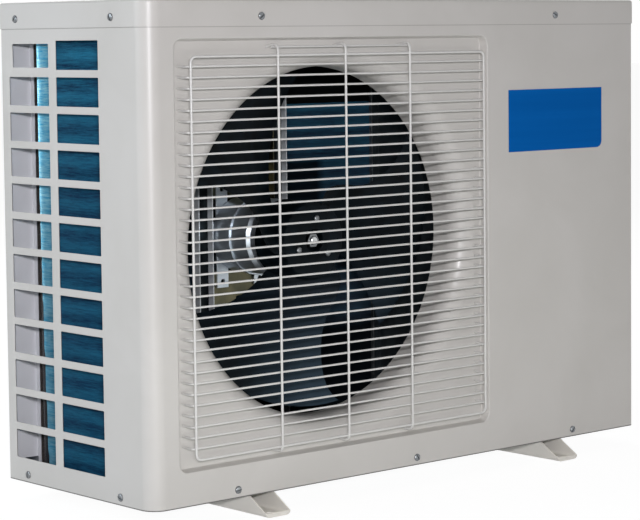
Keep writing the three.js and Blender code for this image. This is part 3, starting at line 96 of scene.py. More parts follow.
def surface(name, **values):
    """A new material: its tree, the Principled shader set to the given values, and Object coordinates."""
    finish = bpy.data.materials.new(name)
    finish.use_nodes = True
    tree = finish.node_tree
    for socket, value in values.items():
        tree.nodes["Principled BSDF"].inputs[socket.replace("_", " ")].default_value = value
    return finish, tree, add(tree, "ShaderNodeTexCoord").outputs["Object"]


def feed(tree, socket, output):
    """Lets an output drive an input of the Principled shader."""
    tree.links.new(output, tree.nodes["Principled BSDF"].inputs[socket])


def noise(tree, place, scale, detail, **more):
    """Fractal noise over the object; three scales stretch its grain along the axes."""
    if isinstance(scale, tuple):
        place = add(tree, "ShaderNodeMapping", {"Vector": place, "Scale": scale}).outputs["Vector"]
        scale = 1
    return add(tree, "ShaderNodeTexNoise", {"Vector": place, "Scale": scale, "Detail": detail,
                                            **more}).outputs["Fac"]


def maths(tree, operation, *values):
    """The result of a Math node."""
    return add(tree, "ShaderNodeMath", dict(enumerate(values)), operation=operation).outputs["Value"]


def times(tree, first, *others):
    """The product of values."""
    for other in others:
        first = maths(tree, "MULTIPLY", first, other)
    return first


def within(tree, value, low, high):
    """One where a value lies between two limits, else nought."""
    return maths(tree, "COMPARE", value, (low + high) / 2, (high - low) / 2)


def ramp(tree, value, start, stop):
    """A value run over into a share: start and stop are each a value and its share."""
    return add(tree, "ShaderNodeMapRange", {"Value": value, "From Min": start[0], "From Max": stop[0],
                                            "To Min": start[1], "To Max": stop[1]}).outputs["Result"]


def toned(tree, value, *stops):
    """A value run over into a colour: the two stops are each a value and its hex colour."""
    tone = add(tree, "ShaderNodeValToRGB", {"Fac": value})
    for element, (position, colour) in zip(tone.color_ramp.elements, stops):
        element.position = position
        element.color = linear(colour)
    return tone.outputs["Color"]


def blended(tree, share, colour, over):
    """A colour with a share of another laid over it, which is a hex colour or an output."""
    return add(tree, "ShaderNodeMix", {"Factor": share, 6: colour,
                                       7: linear(over) if isinstance(over, str) else over},
               data_type="RGBA").outputs[2]


def relief(tree, height, strength, distance):
    """The surface's direction where a value raises it, by a distance in metres."""
    return add(tree, "ShaderNodeBump", {"Height": height, "Strength": strength,
                                        "Distance": distance}).outputs["Normal"]


def axes_of(tree, vector):
    """The X, Y and Z of a vector."""
    return add(tree, "ShaderNodeSeparateXYZ", {"Vector": vector}).outputs


def grained(name, scale, detail, strength, distance, **values):
    """A finish raised by noise of a scale and detail, by a strength and a distance in metres."""
    finish, tree, place = surface(name, **values)
    feed(tree, "Normal", relief(tree, noise(tree, place, scale, detail), strength, distance))
    return finish


def wavering(name, scale, detail, low, high, **values):
    """A finish whose roughness wavers from low to high, with noise of a scale and detail."""
    finish, tree, place = surface(name, **values)
    feed(tree, "Roughness", ramp(tree, noise(tree, place, scale, detail), (0, low), (1, high)))
    return finish


def mottled(name, scale, detail, first, second, **values):
    """A finish whose colour runs between two stops, with noise of a scale and detail."""
    finish, tree, place = surface(name, **values)
    feed(tree, "Base Color", toned(tree, noise(tree, place, scale, detail), first, second))
    return finish


def new_object(name, data):
    """A new object of the scene that holds a mesh, a lamp or a camera."""
    thing = bpy.data.objects.new(name, data)
    bpy.context.scene.collection.objects.link(thing)
    return thing


def baked(carrier):
    """The mesh that an object's modifiers make; the object goes."""
    result = bpy.data.meshes.new_from_object(carrier.evaluated_get(bpy.context.evaluated_depsgraph_get()))
    bpy.data.objects.remove(carrier)
    return result


def finished(name, mesh, finish, body, slot, *nodes):
    """Shows a mesh as a piece that rides on a body and stands for CAD nodes."""
    shown = new_object(name, mesh)
    mesh.materials.clear()
    mesh.materials.append(finish)
    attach(shown, body)
    if nodes:
        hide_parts(*nodes)
    return shown


def plain_mesh(name, points, faces, smooth=35):
    """A mesh from points in metres and faces, its doubles merged, facing out, smooth below an angle."""
    shape = bmesh.new()
    corners = [shape.verts.new(p) for p in points]
    for face in faces:
        shape.faces.new([corners[i] for i in face])
    bmesh.ops.remove_doubles(shape, verts=shape.verts, dist=MERGE)
    bmesh.ops.recalc_face_normals(shape, faces=shape.faces)
    middle = case_point(*CASE_MIDDLE)
    if sum(f.calc_area() * f.normal.dot(f.calc_center_median() - middle) for f in shape.faces) < 0 \
            and any(e.is_boundary for e in shape.edges):
        bmesh.ops.reverse_faces(shape, faces=shape.faces)
    mesh = bpy.data.meshes.new(name)
    shape.to_mesh(mesh)
    shape.free()
    mesh.shade_smooth()
    mesh.set_sharp_from_angle(angle=math.radians(smooth))
    return mesh


def through(mesh, *steps):
    """The mesh after modifiers, each given as its kind and its settings."""
    carrier = new_object("carrier", mesh)
    for kind, settings in steps:
        modifier = carrier.modifiers.new(kind.lower(), kind)
        for name, value in settings.items():
            setattr(modifier, name, value)
    return baked(carrier)


def softened(mesh, width, angle=35, segments=2):
    """The mesh with its hard edges rolled over to a width in mm."""
    return through(mesh, ("BEVEL", {
        "width": width / 1000, "segments": segments, "limit_method": "ANGLE",
        "angle_limit": math.radians(angle), "harden_normals": True, "use_clamp_overlap": True}))


def from_cad(node, width=0.3, smooth=35):
    """A merged copy of a CAD node with its flat faces joined and its edges softened."""
    shape = bmesh.new()
    shape.from_mesh(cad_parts[node].data)
    bmesh.ops.remove_doubles(shape, verts=shape.verts, dist=MERGE)
    bmesh.ops.dissolve_limit(shape, angle_limit=math.radians(FLAT), verts=shape.verts, edges=shape.edges)
    points = [v.co.copy() for v in shape.verts]
    faces = [[v.index for v in f.verts] for f in shape.faces]
    shape.free()
    mesh = plain_mesh(node, points, faces, smooth)
    return softened(mesh, width, smooth) if width else mesh


def dressed(node, name, finish, slot, width=0.3, smooth=35, body="unit"):
    """Shows a CAD node's own form in a finish, its edges softened to a width in mm."""
    finished(name, from_cad(node, width, smooth), finish, body, slot, node)


# Galvanised steel, hot dipped: a cool grey metal whose zinc crystals, about 6 mm across, catch the light
# a little differently from each other.
galvanised, tree, place = surface("galvanised_steel", Metallic=0.9, Roughness=0.4)
crystals = add(tree, "ShaderNodeTexVoronoi", {"Vector": place, "Scale": 170.0})
feed(tree, "Roughness", ramp(tree, crystals.outputs["Color"], (0, 0.3), (1, 0.5)))
feed(tree, "Base Color", toned(tree, crystals.outputs["Color"], (0, "#6E7477"), (1, "#8C9194")))
dressed("base_pan", "base_pan_tray", galvanised, "galvanised_sheet")

# Polypropylene, moulded: a near black plastic with a fine matt grain that breaks the gloss up softly.
dark_plastic = grained("moulded_dark_polypropylene", 900, 3, 0.12, 0.0002, Base_Color=linear("#2E3236"),
                       Roughness=0.46)
dressed("drain_spigot", "drain_spigot_moulding", dark_plastic, "dark_plastic")


# ---------------------------------------------------------------- feet
# Two feet pressed from 2 mm steel strip into channels, open side up and flared out to a low lip at each
# tip, with a slot for an anchor bolt there. They are painted like the case and bolted under the pan.

# Polyester powder coat on steel, baked: pale warm grey, satin, with the faint orange peel of the powder
# at about 2 mm and slow smears where hands and wiping have dulled the gloss. Painted shade darkens a line
# under the lid's edge and along the case's low edge. Painted light makes the rear return paler and cooler
# inside the windows, and makes the feet paler where they look up.
case_paint, tree, place = surface(
    "powder_coated_steel", Roughness=0.38, Coat_Weight=0.06, Coat_Roughness=0.12)
smears = noise(tree, place, 7, 5, Distortion=0.8)
feed(tree, "Roughness", ramp(tree, smears, (0.3, 0.32), (0.7, 0.42)))
tone = toned(tree, smears, (0.25, "#C3C0BB"), (0.75, "#CCC9C5"))
axes = axes_of(tree, place)
LINE = {"lid": 545.9, "seam": 0.9, "rim": 1.6, "full": 0.8, "below": 0.2}
REAR_RETURN = {"x": (2, 44.5), "y": (275, 290.2)}
FOOT_TOP = -0.5
# Painted shade: a dark line under the lid's edge and along the case's low edge.
seam = within(tree, axes["Z"], case_z(LINE["lid"] - LINE["seam"]), case_z(LINE["lid"]))
rim = times(tree, ramp(tree, axes["Z"], (case_z(LINE["rim"]), 0), (case_z(LINE["full"]), 0.85)),
            within(tree, axes["Z"], case_z(-LINE["below"]), case_z(LINE["rim"])))
edge_shaded = blended(tree, maths(tree, "MULTIPLY_ADD", seam, 0.3, rim), tone, "#1E1C1A")
# Painted light: the rear return's inner face, lit through the windows, is painted paler and cooler.
low, high = (case_point(x, y, z) for x, y, z in zip(REAR_RETURN["x"], REAR_RETURN["y"], (0, LINE["lid"])))
bare = times(tree, *(within(tree, axes[axis], low[k], high[k]) for k, axis in enumerate("XYZ")))
return_lit = blended(tree, bare, edge_shaded, "#DADBDF")
# Painted light: the faces of the feet that look up are painted paler, as if lit from above.
facing_up = axes_of(tree, add(tree, "ShaderNodeNewGeometry").outputs["Normal"])["Z"]
lit_foot_tops = times(tree, within(tree, axes["Z"], -0.01, case_z(FOOT_TOP)),
                   ramp(tree, facing_up, (0.2, 0.55), (0.8, 1)))
feed(tree, "Base Color", blended(tree, lit_foot_tops, return_lit, "#F4F0E6"))
peel = noise(tree, place, 420, 1)
feed(tree, "Normal", relief(tree, peel, 0.05, 0.0003))
for side in ("left", "right"):
    dressed(f"foot_{side}", f"{side}_foot_channel", case_paint, "case_paint", 0.5)


# ---------------------------------------------------------------- compressor and its grommets
# A hermetic compressor: a drawn and welded steel can in black paint, on a three-cornered base plate that
# stands on rubber grommets, with its suction accumulator strapped beside it.

# Stoving enamel on drawn steel: black with a clear gloss and slight waves from the drawing.
black_paint = grained("black_enamelled_steel", 40, 2, 0.1, 0.001, Base_Color=linear("#0D0E0F"),
                      Roughness=0.3)
dressed("compressor", "compressor_can", black_paint, "black_paint", 0.4, 28)
dressed("suction_accumulator", "suction_accumulator_can", black_paint, "black_paint", 0.4, 28)

# Nitrile rubber, moulded: dull black that scatters almost all light, slightly dusty.
rubber = wavering("moulded_nitrile_rubber", 160, 4, 0.75, 0.95, Base_Color=linear("#1D1D1D"),
                  Roughness=0.85)
for i in (1, 2, 3):
    dressed(f"compressor_grommet_{i}", f"compressor_grommet_{i}_rubber", rubber, "black_rubber")


# ---------------------------------------------------------------- refrigerant valves and pipes
# Brass valve bodies with copper tube brazed between them, the compressor, the exchanger and the coil.
# The tube is bent on a mandrel, so every bend keeps its round section.

# Forged brass: warm yellow metal, satin from the forging, a little darker in the hollows.
brass = grained("forged_brass", 300, 3, 0.15, 0.0003, Base_Color=linear("#B9974A"), Metallic=1.0,
                Roughness=0.36)
dressed("reversing_valve", "reversing_valve_body", brass, "brass_body")
dressed("expansion_valve", "expansion_valve_body", brass, "brass_body")

# Drawn copper tube: red metal, bright where it was drawn and browned in patches by the brazing heat.
copper = mottled("drawn_copper", 30, 4, (0.35, "#8F5636"), (0.6, "#C27A50"), Metallic=1.0, Roughness=0.3)
for pipe in ("discharge_pipe", "suction_pipe", "coil_gas_pipe", "exchanger_gas_pipe", "liquid_pipe",
             "coil_liquid_pipe"):
    dressed(pipe, f"{pipe}_tube", copper, "copper_tube", 0, 60)


# ---------------------------------------------------------------- evaporator coil
# A block of thin blue-coated aluminium fins stacked on copper tubes and bent once at the rear left. A
# galvanised sheet closes each end, and hairpin bends join the tubes in pairs at the right end.

def route(corners, name="route", closed=False):
    """A polyline in mm as a mesh of points and edges, for the wire and tube tree."""
    mesh = bpy.data.meshes.new(name)
    points = [case_point(*p) for p in corners]
    edges = [(i, i + 1) for i in range(len(points) - 1)]
    mesh.from_pydata(points, edges + [(len(points) - 1, 0)] * closed, [])
    return mesh


def inputs_of(name, *sockets):
    """A new Geometry Nodes tree with a geometry input and output and named inputs."""
    tree = bpy.data.node_groups.new(name, "GeometryNodeTree")
    tree.interface.new_socket("Geometry", in_out="INPUT", socket_type="NodeSocketGeometry")
    for label, kind in sockets:
        tree.interface.new_socket(label, in_out="INPUT", socket_type=f"NodeSocket{kind}")
    tree.interface.new_socket("Geometry", in_out="OUTPUT", socket_type="NodeSocketGeometry")
    return tree, add(tree, "NodeGroupInput").outputs


def grown(mesh, tree, **values):
    """The mesh that a Geometry Nodes tree makes of a base mesh with the given inputs."""
    carrier = new_object("carrier", mesh)
    modifier = carrier.modifiers.new("tree", "NODES")
    modifier.node_group = tree
    for item in tree.interface.items_tree:
        key = item.name.replace(" ", "_")
        if item.in_out == "INPUT" and key in values:
            modifier[item.identifier] = values[key]
    bpy.context.view_layer.update()
    return baked(carrier)


def filleted(tree, line, radius, steps, **more):
    """A polyline with its corners bent round to a radius, each in a number of steps."""
    curve = add(tree, "GeometryNodeMeshToCurve", {"Mesh": line})
    bent = add(tree, "GeometryNodeFilletCurve", {"Curve": curve.outputs["Curve"], "Radius": radius, **more})
    if "Mode" in bent.inputs:
        bent.inputs["Mode"].default_value = "Poly"
    else:
        bent.mode = "POLY"
    bent.inputs["Count"].default_value = steps
    return bent.outputs["Curve"]


def close_tree(tree, geometry, finish):
    """Ends a tree: its instances made real, in one finish."""
    whole = add(tree, "GeometryNodeRealizeInstances", {"Geometry": geometry})
    coloured = add(tree, "GeometryNodeSetMaterial", {"Geometry": whole.outputs["Geometry"],
                                                     "Material": finish})
    add(tree, "NodeGroupOutput", {"Geometry": coloured.outputs["Geometry"]})


# One wire or tube is bent along the route, then repeated at even steps, like the row of wires that a
# welding jig lays down.
rods, given = inputs_of("bent_rods", ("Count", "Int"), ("Step", "Vector"), ("Radius", "Float"),
                        ("Bend Radius", "Float"), ("Sides", "Int"), ("Finish", "Material"))
bent = filleted(rods, given["Geometry"], given["Bend Radius"], 6, **{"Limit Radius": True})
row = add(rods, "GeometryNodeMeshLine", {"Count": given["Count"], "Offset": given["Step"]})
copies = add(rods, "GeometryNodeInstanceOnPoints", {"Points": row.outputs["Mesh"], "Instance": bent})
laid = add(rods, "GeometryNodeRealizeInstances", {"Geometry": copies.outputs["Instances"]})
section = add(rods, "GeometryNodeCurvePrimitiveCircle", {"Resolution": given["Sides"],
                                                         "Radius": given["Radius"]})
swept = add(rods, "GeometryNodeCurveToMesh", {"Curve": laid.outputs["Geometry"],
                                              "Profile Curve": section.outputs["Curve"], "Fill Caps": True})
round_off = add(rods, "GeometryNodeSetShadeSmooth", {"Geometry": swept.outputs["Mesh"]})
close_tree(rods, round_off.outputs["Geometry"], given["Finish"])


def rod_set(corners, finish, radius, bend, count=1, step=(0, 0, 0), sides=12, closed=False):
    """Bent rods in mm from the tree above, repeated at a step."""
    return grown(route(corners, closed=closed), rods, Count=count, Step=[s / 1000 for s in step],
                 Radius=radius / 1000, Bend_Radius=bend / 1000, Sides=sides, Finish=finish)


def joined(name, meshes):
    """Several meshes as one, each keeping its own shading."""
    shape = bmesh.new()
    for mesh in meshes:
        shape.from_mesh(mesh)
    whole = bpy.data.meshes.new(name)
    shape.to_mesh(whole)
    shape.free()
    return whole


COIL = {"outer_x": 22.3, "outer_y": 274.4, "thickness": 24, "bend": 42, "front": 52, "right": 566,
        "bottom": 7.5, "top": 548, "sheet": 1.2, "overlap": 4, "gap": 0.3}
# Each fin is waved across its depth, as these are to stir the air, which also stops a straight look
# through the block.
FIN = {"pitch": 1.9, "thickness": 0.2, "waves": 3, "wave": 0.8, "margin": 0.2, "inset": 1}
TUBE = {"radius": 4.8, "first": 66, "spacing": 25, "rows": 20, "bend_reach": 20, "bends": 10, "pitch": 50,
        "past": (1, 0.2), "pin": (1, 0.5), "tighter": 0.1}
# Where the fins' colour changes, in mm: the bend's painted highlight, the painted shade lower down, the
# edge of the painted shade over the bend, and the dust and painted shade on the inner face. A wave texture
# of scale 1 repeats every 0.314 m.
BEND_LOOK = {"edge": 8, "y": (206, 222), "z": (177, 537)}
DEEP_Z = (507, 337)
BEND_SHADE = {"x": 40, "y": (236, 259)}
DUST_AND_SHADE = {"x": (90, 478), "y": (249, 258), "z": (150, 370), "film_z": 197, "motor_z": (227, 257),
        "side_fade": 8, "top_fade": 4, "pan_fade": (15, -10)}
WAVE_AT_ONE = 0.314

# Epoxy coated aluminium foil, rolled and pierced: a metallic blue. The foil is dented along the tube rows,
# which raises fine level streaks about 2 mm high. These streaks and the tube-row bands also run the colour
# from navy to cyan as painted reflections. The fins round the bend carry a painted highlight, the fins
# darken downwards with painted shade, and a near black wedge of painted shade lies over the bend. Grey dust
# lies on the inner face of the rear leg, with near black painted shade behind the motor and near the pan.
fin_blue, tree, place = surface("blue_coated_aluminium_fin", Metallic=0.45, Roughness=0.36)
streaks = noise(tree, place, (40, 40, 620), 4, Roughness=0.75)
rows = add(tree, "ShaderNodeTexWave", {"Vector": place, "Scale": WAVE_AT_ONE / (TUBE["spacing"] / 1000),
                                       "Distortion": 1.2, "Detail": 3.0, "Detail Scale": 2.0},
           bands_direction="Z")
# Painted reflections: the level streaks and the tube-row bands run the colour from navy to cyan.
streak_reflections = maths(tree, "MULTIPLY_ADD", rows.outputs["Fac"], 0.2, streaks)
tone = toned(tree, streak_reflections, (0.38, "#0F4268"), (0.8, "#3398BE"))
axes = axes_of(tree, place)
# Painted highlight: the fins round the bend are painted pale cyan, brighter towards the top.
bend_start = case_point(COIL["outer_x"] + BEND_LOOK["edge"], BEND_LOOK["y"][0], 0)
bend_full = case_point(COIL["outer_x"] + COIL["bend"], BEND_LOOK["y"][1], 0)
low_z, high_z = (case_z(z) for z in BEND_LOOK["z"])
bend_highlight = times(tree, ramp(tree, axes["Y"], (bend_start[1], 0), (bend_full[1], 1)),
               ramp(tree, axes["X"], (bend_full[0], 0), (bend_start[0], 1)),
               ramp(tree, axes["Z"], (low_z, 0.45), (high_z, 1)))
pale = toned(tree, streaks, (0.35, "#42BEE6"), (0.65, "#C2F6FD"))
# Painted shade: the fins darken towards the bottom.
deep_from, deep_to = (case_z(z) for z in DEEP_Z)
low_shade = blended(tree, ramp(tree, axes["Z"], (deep_from, 0), (deep_to, 0.4)), tone, "#0C3158")
blend = blended(tree, bend_highlight, low_shade, pale)
# Painted shade: a near black wedge over the bend, widening downwards, where the fins lie edge-on.
bend_shade_low, bend_shade_high = (case_point(BEND_SHADE["x"], y, z) for y, z in zip(BEND_SHADE["y"], (COIL["bottom"], COIL["top"])))
bend_shade_edge = ramp(tree, axes["Z"], (bend_shade_low[2], bend_shade_low[1]), (bend_shade_high[2], bend_shade_high[1]))
bend_shaded = times(tree, maths(tree, "GREATER_THAN", axes["Y"], bend_shade_edge),
              within(tree, axes["X"], -1, bend_shade_low[0]))
closed = blended(tree, bend_shaded, blend, "#1B1C1F")
inner_low, inner_high = (case_point(DUST_AND_SHADE["x"][k], DUST_AND_SHADE["y"][k], DUST_AND_SHADE["z"][k]) for k in (0, 1))
inner_face = times(tree, within(tree, axes["X"], inner_low[0], 1),
                   within(tree, axes["Y"], inner_low[1], inner_high[1]))
film = times(tree, inner_face, ramp(tree, axes["Z"], (inner_high[2], 0.3), (case_z(DUST_AND_SHADE["film_z"]), 0.6)))
dusty = blended(tree, film, closed, "#5B6068")
side, top = DUST_AND_SHADE["side_fade"] / 1000, DUST_AND_SHADE["top_fade"] / 1000
above, below = (inner_low[2] + fade / 1000 for fade in DUST_AND_SHADE["pan_fade"])
# Painted shade on the inner face: near black behind the motor and near the pan, over the grey dust film.
shade_behind_motor = times(tree, ramp(tree, axes["X"], (inner_high[0] + side, 0), (inner_high[0] - side, 0.88)),
                     ramp(tree, axes["Z"], (inner_high[2] + top, 0), (inner_high[2] - top, 1)),
                     ramp(tree, axes["Z"], *((case_z(z), k) for k, z in enumerate(DUST_AND_SHADE["motor_z"]))))
shade_near_pan = ramp(tree, axes["Z"], (above, 0), (below, 0.92))
inner_shade = times(tree, inner_face, maths(tree, "MAXIMUM", shade_behind_motor, shade_near_pan))
feed(tree, "Base Color", blended(tree, inner_shade, dusty, "#0E1010"))
feed(tree, "Normal", relief(tree, streaks, 0.5, 0.001))

# One fin stands on each point of the coil's middle line, square across it.
stack, given = inputs_of("fin_stack", ("Pitch", "Float"), ("Fin", "Object"), ("Bend Radius", "Float"),
                         ("Finish", "Material"))
bent = filleted(stack, given["Geometry"], given["Bend Radius"], 24)
stations = add(stack, "GeometryNodeCurveToPoints", {"Curve": bent, "Length": given["Pitch"]}, mode="LENGTH")
fin = add(stack, "GeometryNodeObjectInfo", {"Object": given["Fin"]})
turn = add(stack, "FunctionNodeAlignRotationToVector", {"Vector": stations.outputs["Tangent"]}, axis="X",
           pivot_axis="Z")
fins = add(stack, "GeometryNodeInstanceOnPoints", {
    "Points": stations.outputs["Points"], "Instance": fin.outputs["Geometry"],
    "Rotation": turn.outputs["Rotation"]})
close_tree(stack, fins.outputs["Instances"], given["Finish"])


def waved_fin(depth, height):
    """One fin round the origin: a thin plate square to X, waved across its depth along Y."""
    steps = FIN["waves"] * 2
    edge = [(FIN["wave"] / 2 * (-1) ** i, depth * (i / steps - 0.5)) for i in range(steps + 1)]
    points = [Vector((x + side * FIN["thickness"] / 2, y, z)) / 1000
              for side in (-1, 1) for x, y in edge for z in (-height / 2, height / 2)]
    faces, other = [], len(points) // 2
    for i in range(steps):
        a = 2 * i
        faces += [(a, a + 1, a + 3, a + 2), (other + a, other + a + 2, other + a + 3, other + a + 1),
                  (a, a + 2, other + a + 2, other + a), (a + 1, other + a + 1, other + a + 3, a + 3)]
    end = 2 * steps
    faces += [(0, other, other + 1, 1), (end, end + 1, other + end + 1, other + end)]
    return plain_mesh("waved_fin", points, faces)


middle_x = COIL["outer_x"] + COIL["thickness"] / 2
middle_y = COIL["outer_y"] - COIL["thickness"] / 2
middle_bend = COIL["bend"] - COIL["thickness"] / 2
fin_height = COIL["top"] - COIL["bottom"]
middle_z = COIL["bottom"] + fin_height / 2
fin_object = new_object("waved_fin", waved_fin(COIL["thickness"] - FIN["margin"], fin_height))
fins_mesh = grown(
    route([(middle_x, COIL["front"] + FIN["inset"], middle_z), (middle_x, middle_y, middle_z),
           (COIL["right"] - FIN["inset"], middle_y, middle_z)]),
    stack, Pitch=FIN["pitch"] / 1000, Bend_Radius=middle_bend / 1000, Finish=fin_blue, Fin=fin_object)
bpy.data.objects.remove(fin_object)
finished("coil_fin_block", fins_mesh, fin_blue, "unit", "blue_fins", "evaporator_coil")

tubes = rod_set([(x, y, TUBE["first"]) for x, y in (
    (middle_x, COIL["front"] - TUBE["past"][0]), (middle_x, middle_y),
    (COIL["right"] + TUBE["past"][1], middle_y))],
                copper, TUBE["radius"], middle_bend, TUBE["rows"], (0, 0, TUBE["spacing"]))
finished("coil_tube_rows", tubes, copper, "unit", "copper_tube")

sheet_x = COIL["right"] + COIL["gap"]
pin_start, pin_end = sheet_x + TUBE["pin"][0], sheet_x + TUBE["bend_reach"] - TUBE["pin"][1]
next_row = TUBE["first"] + TUBE["spacing"]
hairpins = rod_set([(x, middle_y, z) for x, z in (
    (pin_start, TUBE["first"]), (pin_end, TUBE["first"]), (pin_end, next_row), (pin_start, next_row))],
    copper, TUBE["radius"], TUBE["spacing"] / 2 - TUBE["tighter"], TUBE["bends"], (0, 0, TUBE["pitch"]))
finished("coil_hairpin_bends", hairpins, copper, "unit", "copper_tube", "coil_tube_sheet")


def block(x0, x1, y0, y1, z0, z1, name="block"):
    """A box in mm between two corners of the case."""
    corners = [case_point(x, y, z) for x in (x0, x1) for y in (y0, y1) for z in (z0, z1)]
    return plain_mesh(name, corners, [(0, 1, 3, 2), (4, 6, 7, 5), (0, 4, 5, 1), (2, 3, 7, 6), (0, 2, 6, 4),
                                      (1, 5, 7, 3)])


end_sheet = softened(block(sheet_x, sheet_x + COIL["sheet"],
                           COIL["outer_y"] - COIL["thickness"] - COIL["overlap"],
                           COIL["outer_y"] + COIL["overlap"], COIL["bottom"], COIL["top"]), 0.2)
finished("coil_right_end_sheet", end_sheet, galvanised, "unit", "galvanised_sheet")
dressed("coil_front_sheet", "coil_front_end_sheet", galvanised, "galvanised_sheet", 0.2)


# ---------------------------------------------------------------- coil blank
# A black enamelled sheet hung on the coil's top, which shuts off the upper rows of its rear leg.
dressed("coil_blank", "coil_blank_sheet", black_paint, "black_paint", 0.2)


# ---------------------------------------------------------------- partition
# A folded galvanised sheet that parts the air chamber from the machine chamber.

# Galvanised steel with painted shade: a darker copy of the zinc for the partition, dark blue-grey,
# blotched, with most of its shine gone.
shaded_zinc = mottled("weathered_galvanised_steel", 60, 4, (0.35, "#343C40"), (0.7, "#464F53"), Metallic=0.7,
                    Roughness=0.55)
dressed("partition_panel", "partition_sheet", shaded_zinc, "galvanised_sheet", 0.2)


# ---------------------------------------------------------------- motor bracket
# Two upright channels of steel strip from the pan to the coil's top, joined by two cross plates that
# carry the motor. The whole is zinc plated and passivated, which turns it yellow.
AXIS = (291.25, 0, 285.5)
BRACKET = {"leg": 49, "flange": 60, "front": 195.9}

# Yellow passivated zinc on steel: a pale olive gold with cloudy patches, satin. The legs' flanges carry a
# painted highlight, pale and less metallic, and the hollows between them carry near black painted shade.
yellow_zinc, tree, place = surface("yellow_passivated_zinc", Metallic=0.95, Roughness=0.3)
clouds = noise(tree, place, 35, 3)
tone = toned(tree, clouds, (0.35, "#44453A"), (0.65, "#625E4A"))
axes = axes_of(tree, place)
left_leg, right_leg = (case_point(AXIS[0] + side * BRACKET["leg"], BRACKET["front"], 0) for side in (-1, 1))
outer_flange = case_point(AXIS[0] + BRACKET["flange"], 0, 0)
plates = within(tree, axes["X"], left_leg[0], right_leg[0])
# Painted highlight on the legs' flanges, painted shade in the hollows between them.
shaded_hollow = times(tree, maths(tree, "SUBTRACT", 1, plates), within(tree, axes["Y"], left_leg[1], 1))
dull = within(tree, axes["X"], left_leg[0], outer_flange[0])
flanges = times(tree, maths(tree, "SUBTRACT", 1, dull), within(tree, axes["Y"], -1, left_leg[1]))
lit_flanges = blended(tree, flanges, tone, "#D3D8DB")
feed(tree, "Base Color", blended(tree, shaded_hollow, lit_flanges, "#171C1E"))
feed(tree, "Metallic", ramp(tree, flanges, (0, 0.95), (1, 0.35)))
dressed("motor_bracket", "motor_bracket_frame", yellow_zinc, "yellow_zinc")


# ---------------------------------------------------------------- fan motor
# A closed induction motor: a drawn steel shell with a raised seam round its middle, held to the bracket by
# four lugs, and a ground steel shaft through it.

# Bright zinc plated steel, drawn: light silver with fine rings left by the spinning.
motor_shell = wavering("bright_zinc_plated_steel", (30, 500, 30), 2, 0.22, 0.45,
                       Base_Color=linear("#C9D2DA"), Metallic=0.85, Roughness=0.42)
dressed("fan_motor", "fan_motor_shell", motor_shell, "motor_shell", 0.4, 28)

# Ground steel: bright, almost a mirror, with fine lines round the shaft.
bright_steel = wavering("ground_steel", 600, 2, 0.15, 0.3, Base_Color=linear("#CDCFD1"), Metallic=1.0,
                        Roughness=0.2)
dressed("motor_shaft", "motor_shaft_rod", bright_steel, "bright_steel", 0.2, body="fan")


# ---------------------------------------------------------------- fan wheel
# An axial wheel moulded in one piece from dark glass-filled polypropylene: three wide blades hooked
# forward at the tip, on a hub with a pocket for the steel nut that holds it to the motor's shaft.

FAN = {"radius": 203, "hub": 48, "hub_front": 52, "hub_length": 56, "phase": 132,
       "front": 50, "back": 112, "thickness": 3, "camber": 9, "sink": 4,
       "pocket": 14, "pocket_depth": 10, "bore": 5.3, "edge": 3, "hub_edge": 4, "shoulder": (1.5, 1.2)}
# A blade's edges, in degrees ahead of its middle line and behind it, from its root to its tip.
LEAD = {"front": 20, "hook": 8, "rise": 6, "root": 42, "share": 0.24, "fall": 4}
TRAIL = {"back": 18, "sweep": 32}


def turned(profile, axis, centre, steps=48, smooth=35):
    """A closed profile of (radius, height) in mm turned about an axis through a point of the case."""
    points, faces = [], []
    count = len(profile)
    for i in range(steps):
        c, s = math.cos(2 * math.pi * i / steps), math.sin(2 * math.pi * i / steps)
        for r, h in profile:
            local = {"x": (h, r * c, r * s), "y": (r * s, h, r * c), "z": (r * c, r * s, h)}[axis]
            points.append(case_point(*(centre[k] + local[k] for k in range(3))))
    for i in range(steps):
        for k in range(count):
            a, b = i * count + k, i * count + (k + 1) % count
            c, d = (i + 1) % steps * count + (k + 1) % count, (i + 1) % steps * count + k
            faces.append((a, b, c, d))
    return plain_mesh("turned", points, faces, smooth)


def blade(turn, spans=30, steps=30):
    """One blade as a closed plate, thinned to a round edge all along its outline."""
    def skin(side):
        points = []
        for i in range(spans + 1):
            s = i / spans
            r = FAN["hub"] - FAN["sink"] + (FAN["radius"] - FAN["hub"] + FAN["sink"]) * s
            ahead = LEAD["front"] + LEAD["hook"] * s ** LEAD["rise"] \
                + LEAD["root"] / (1 + (s / LEAD["share"]) ** LEAD["fall"])
            behind = TRAIL["back"] + TRAIL["sweep"] * s
            for j in range(steps + 1):
                t = j / steps
                angle = math.radians(turn - behind + (ahead + behind) * t)
                bow = FAN["camber"] * 4 * t * (1 - t)
                middle = FAN["front"] + (FAN["back"] - FAN["front"] - FAN["thickness"]) * (1 - t) \
                    - bow * s + FAN["thickness"] / 2
                edge = min(t, 1 - t) * math.radians(ahead + behind) * r
                edge = min(edge, (1 - s) * (FAN["radius"] - FAN["hub"]))
                thick = FAN["thickness"] * math.sqrt(max(0.0, 1 - (1 - min(edge / FAN["edge"], 1)) ** 2))
                y = middle + (side - 0.5) * thick
                points.append(case_point(AXIS[0] + r * math.cos(angle), y, AXIS[2] + r * math.sin(angle)))
        return points
    front, back = skin(0), skin(1)
    row, count, faces = steps + 1, len(front), []
    for i in range(spans):
        for j in range(steps):
            a = i * row + j
            faces.append((a, a + 1, a + row + 1, a + row))
            faces.append((count + a, count + a + row, count + a + row + 1, count + a + 1))
    for j in range(steps):
        faces.append((j, count + j, count + j + 1, j + 1))
    return front + back, faces


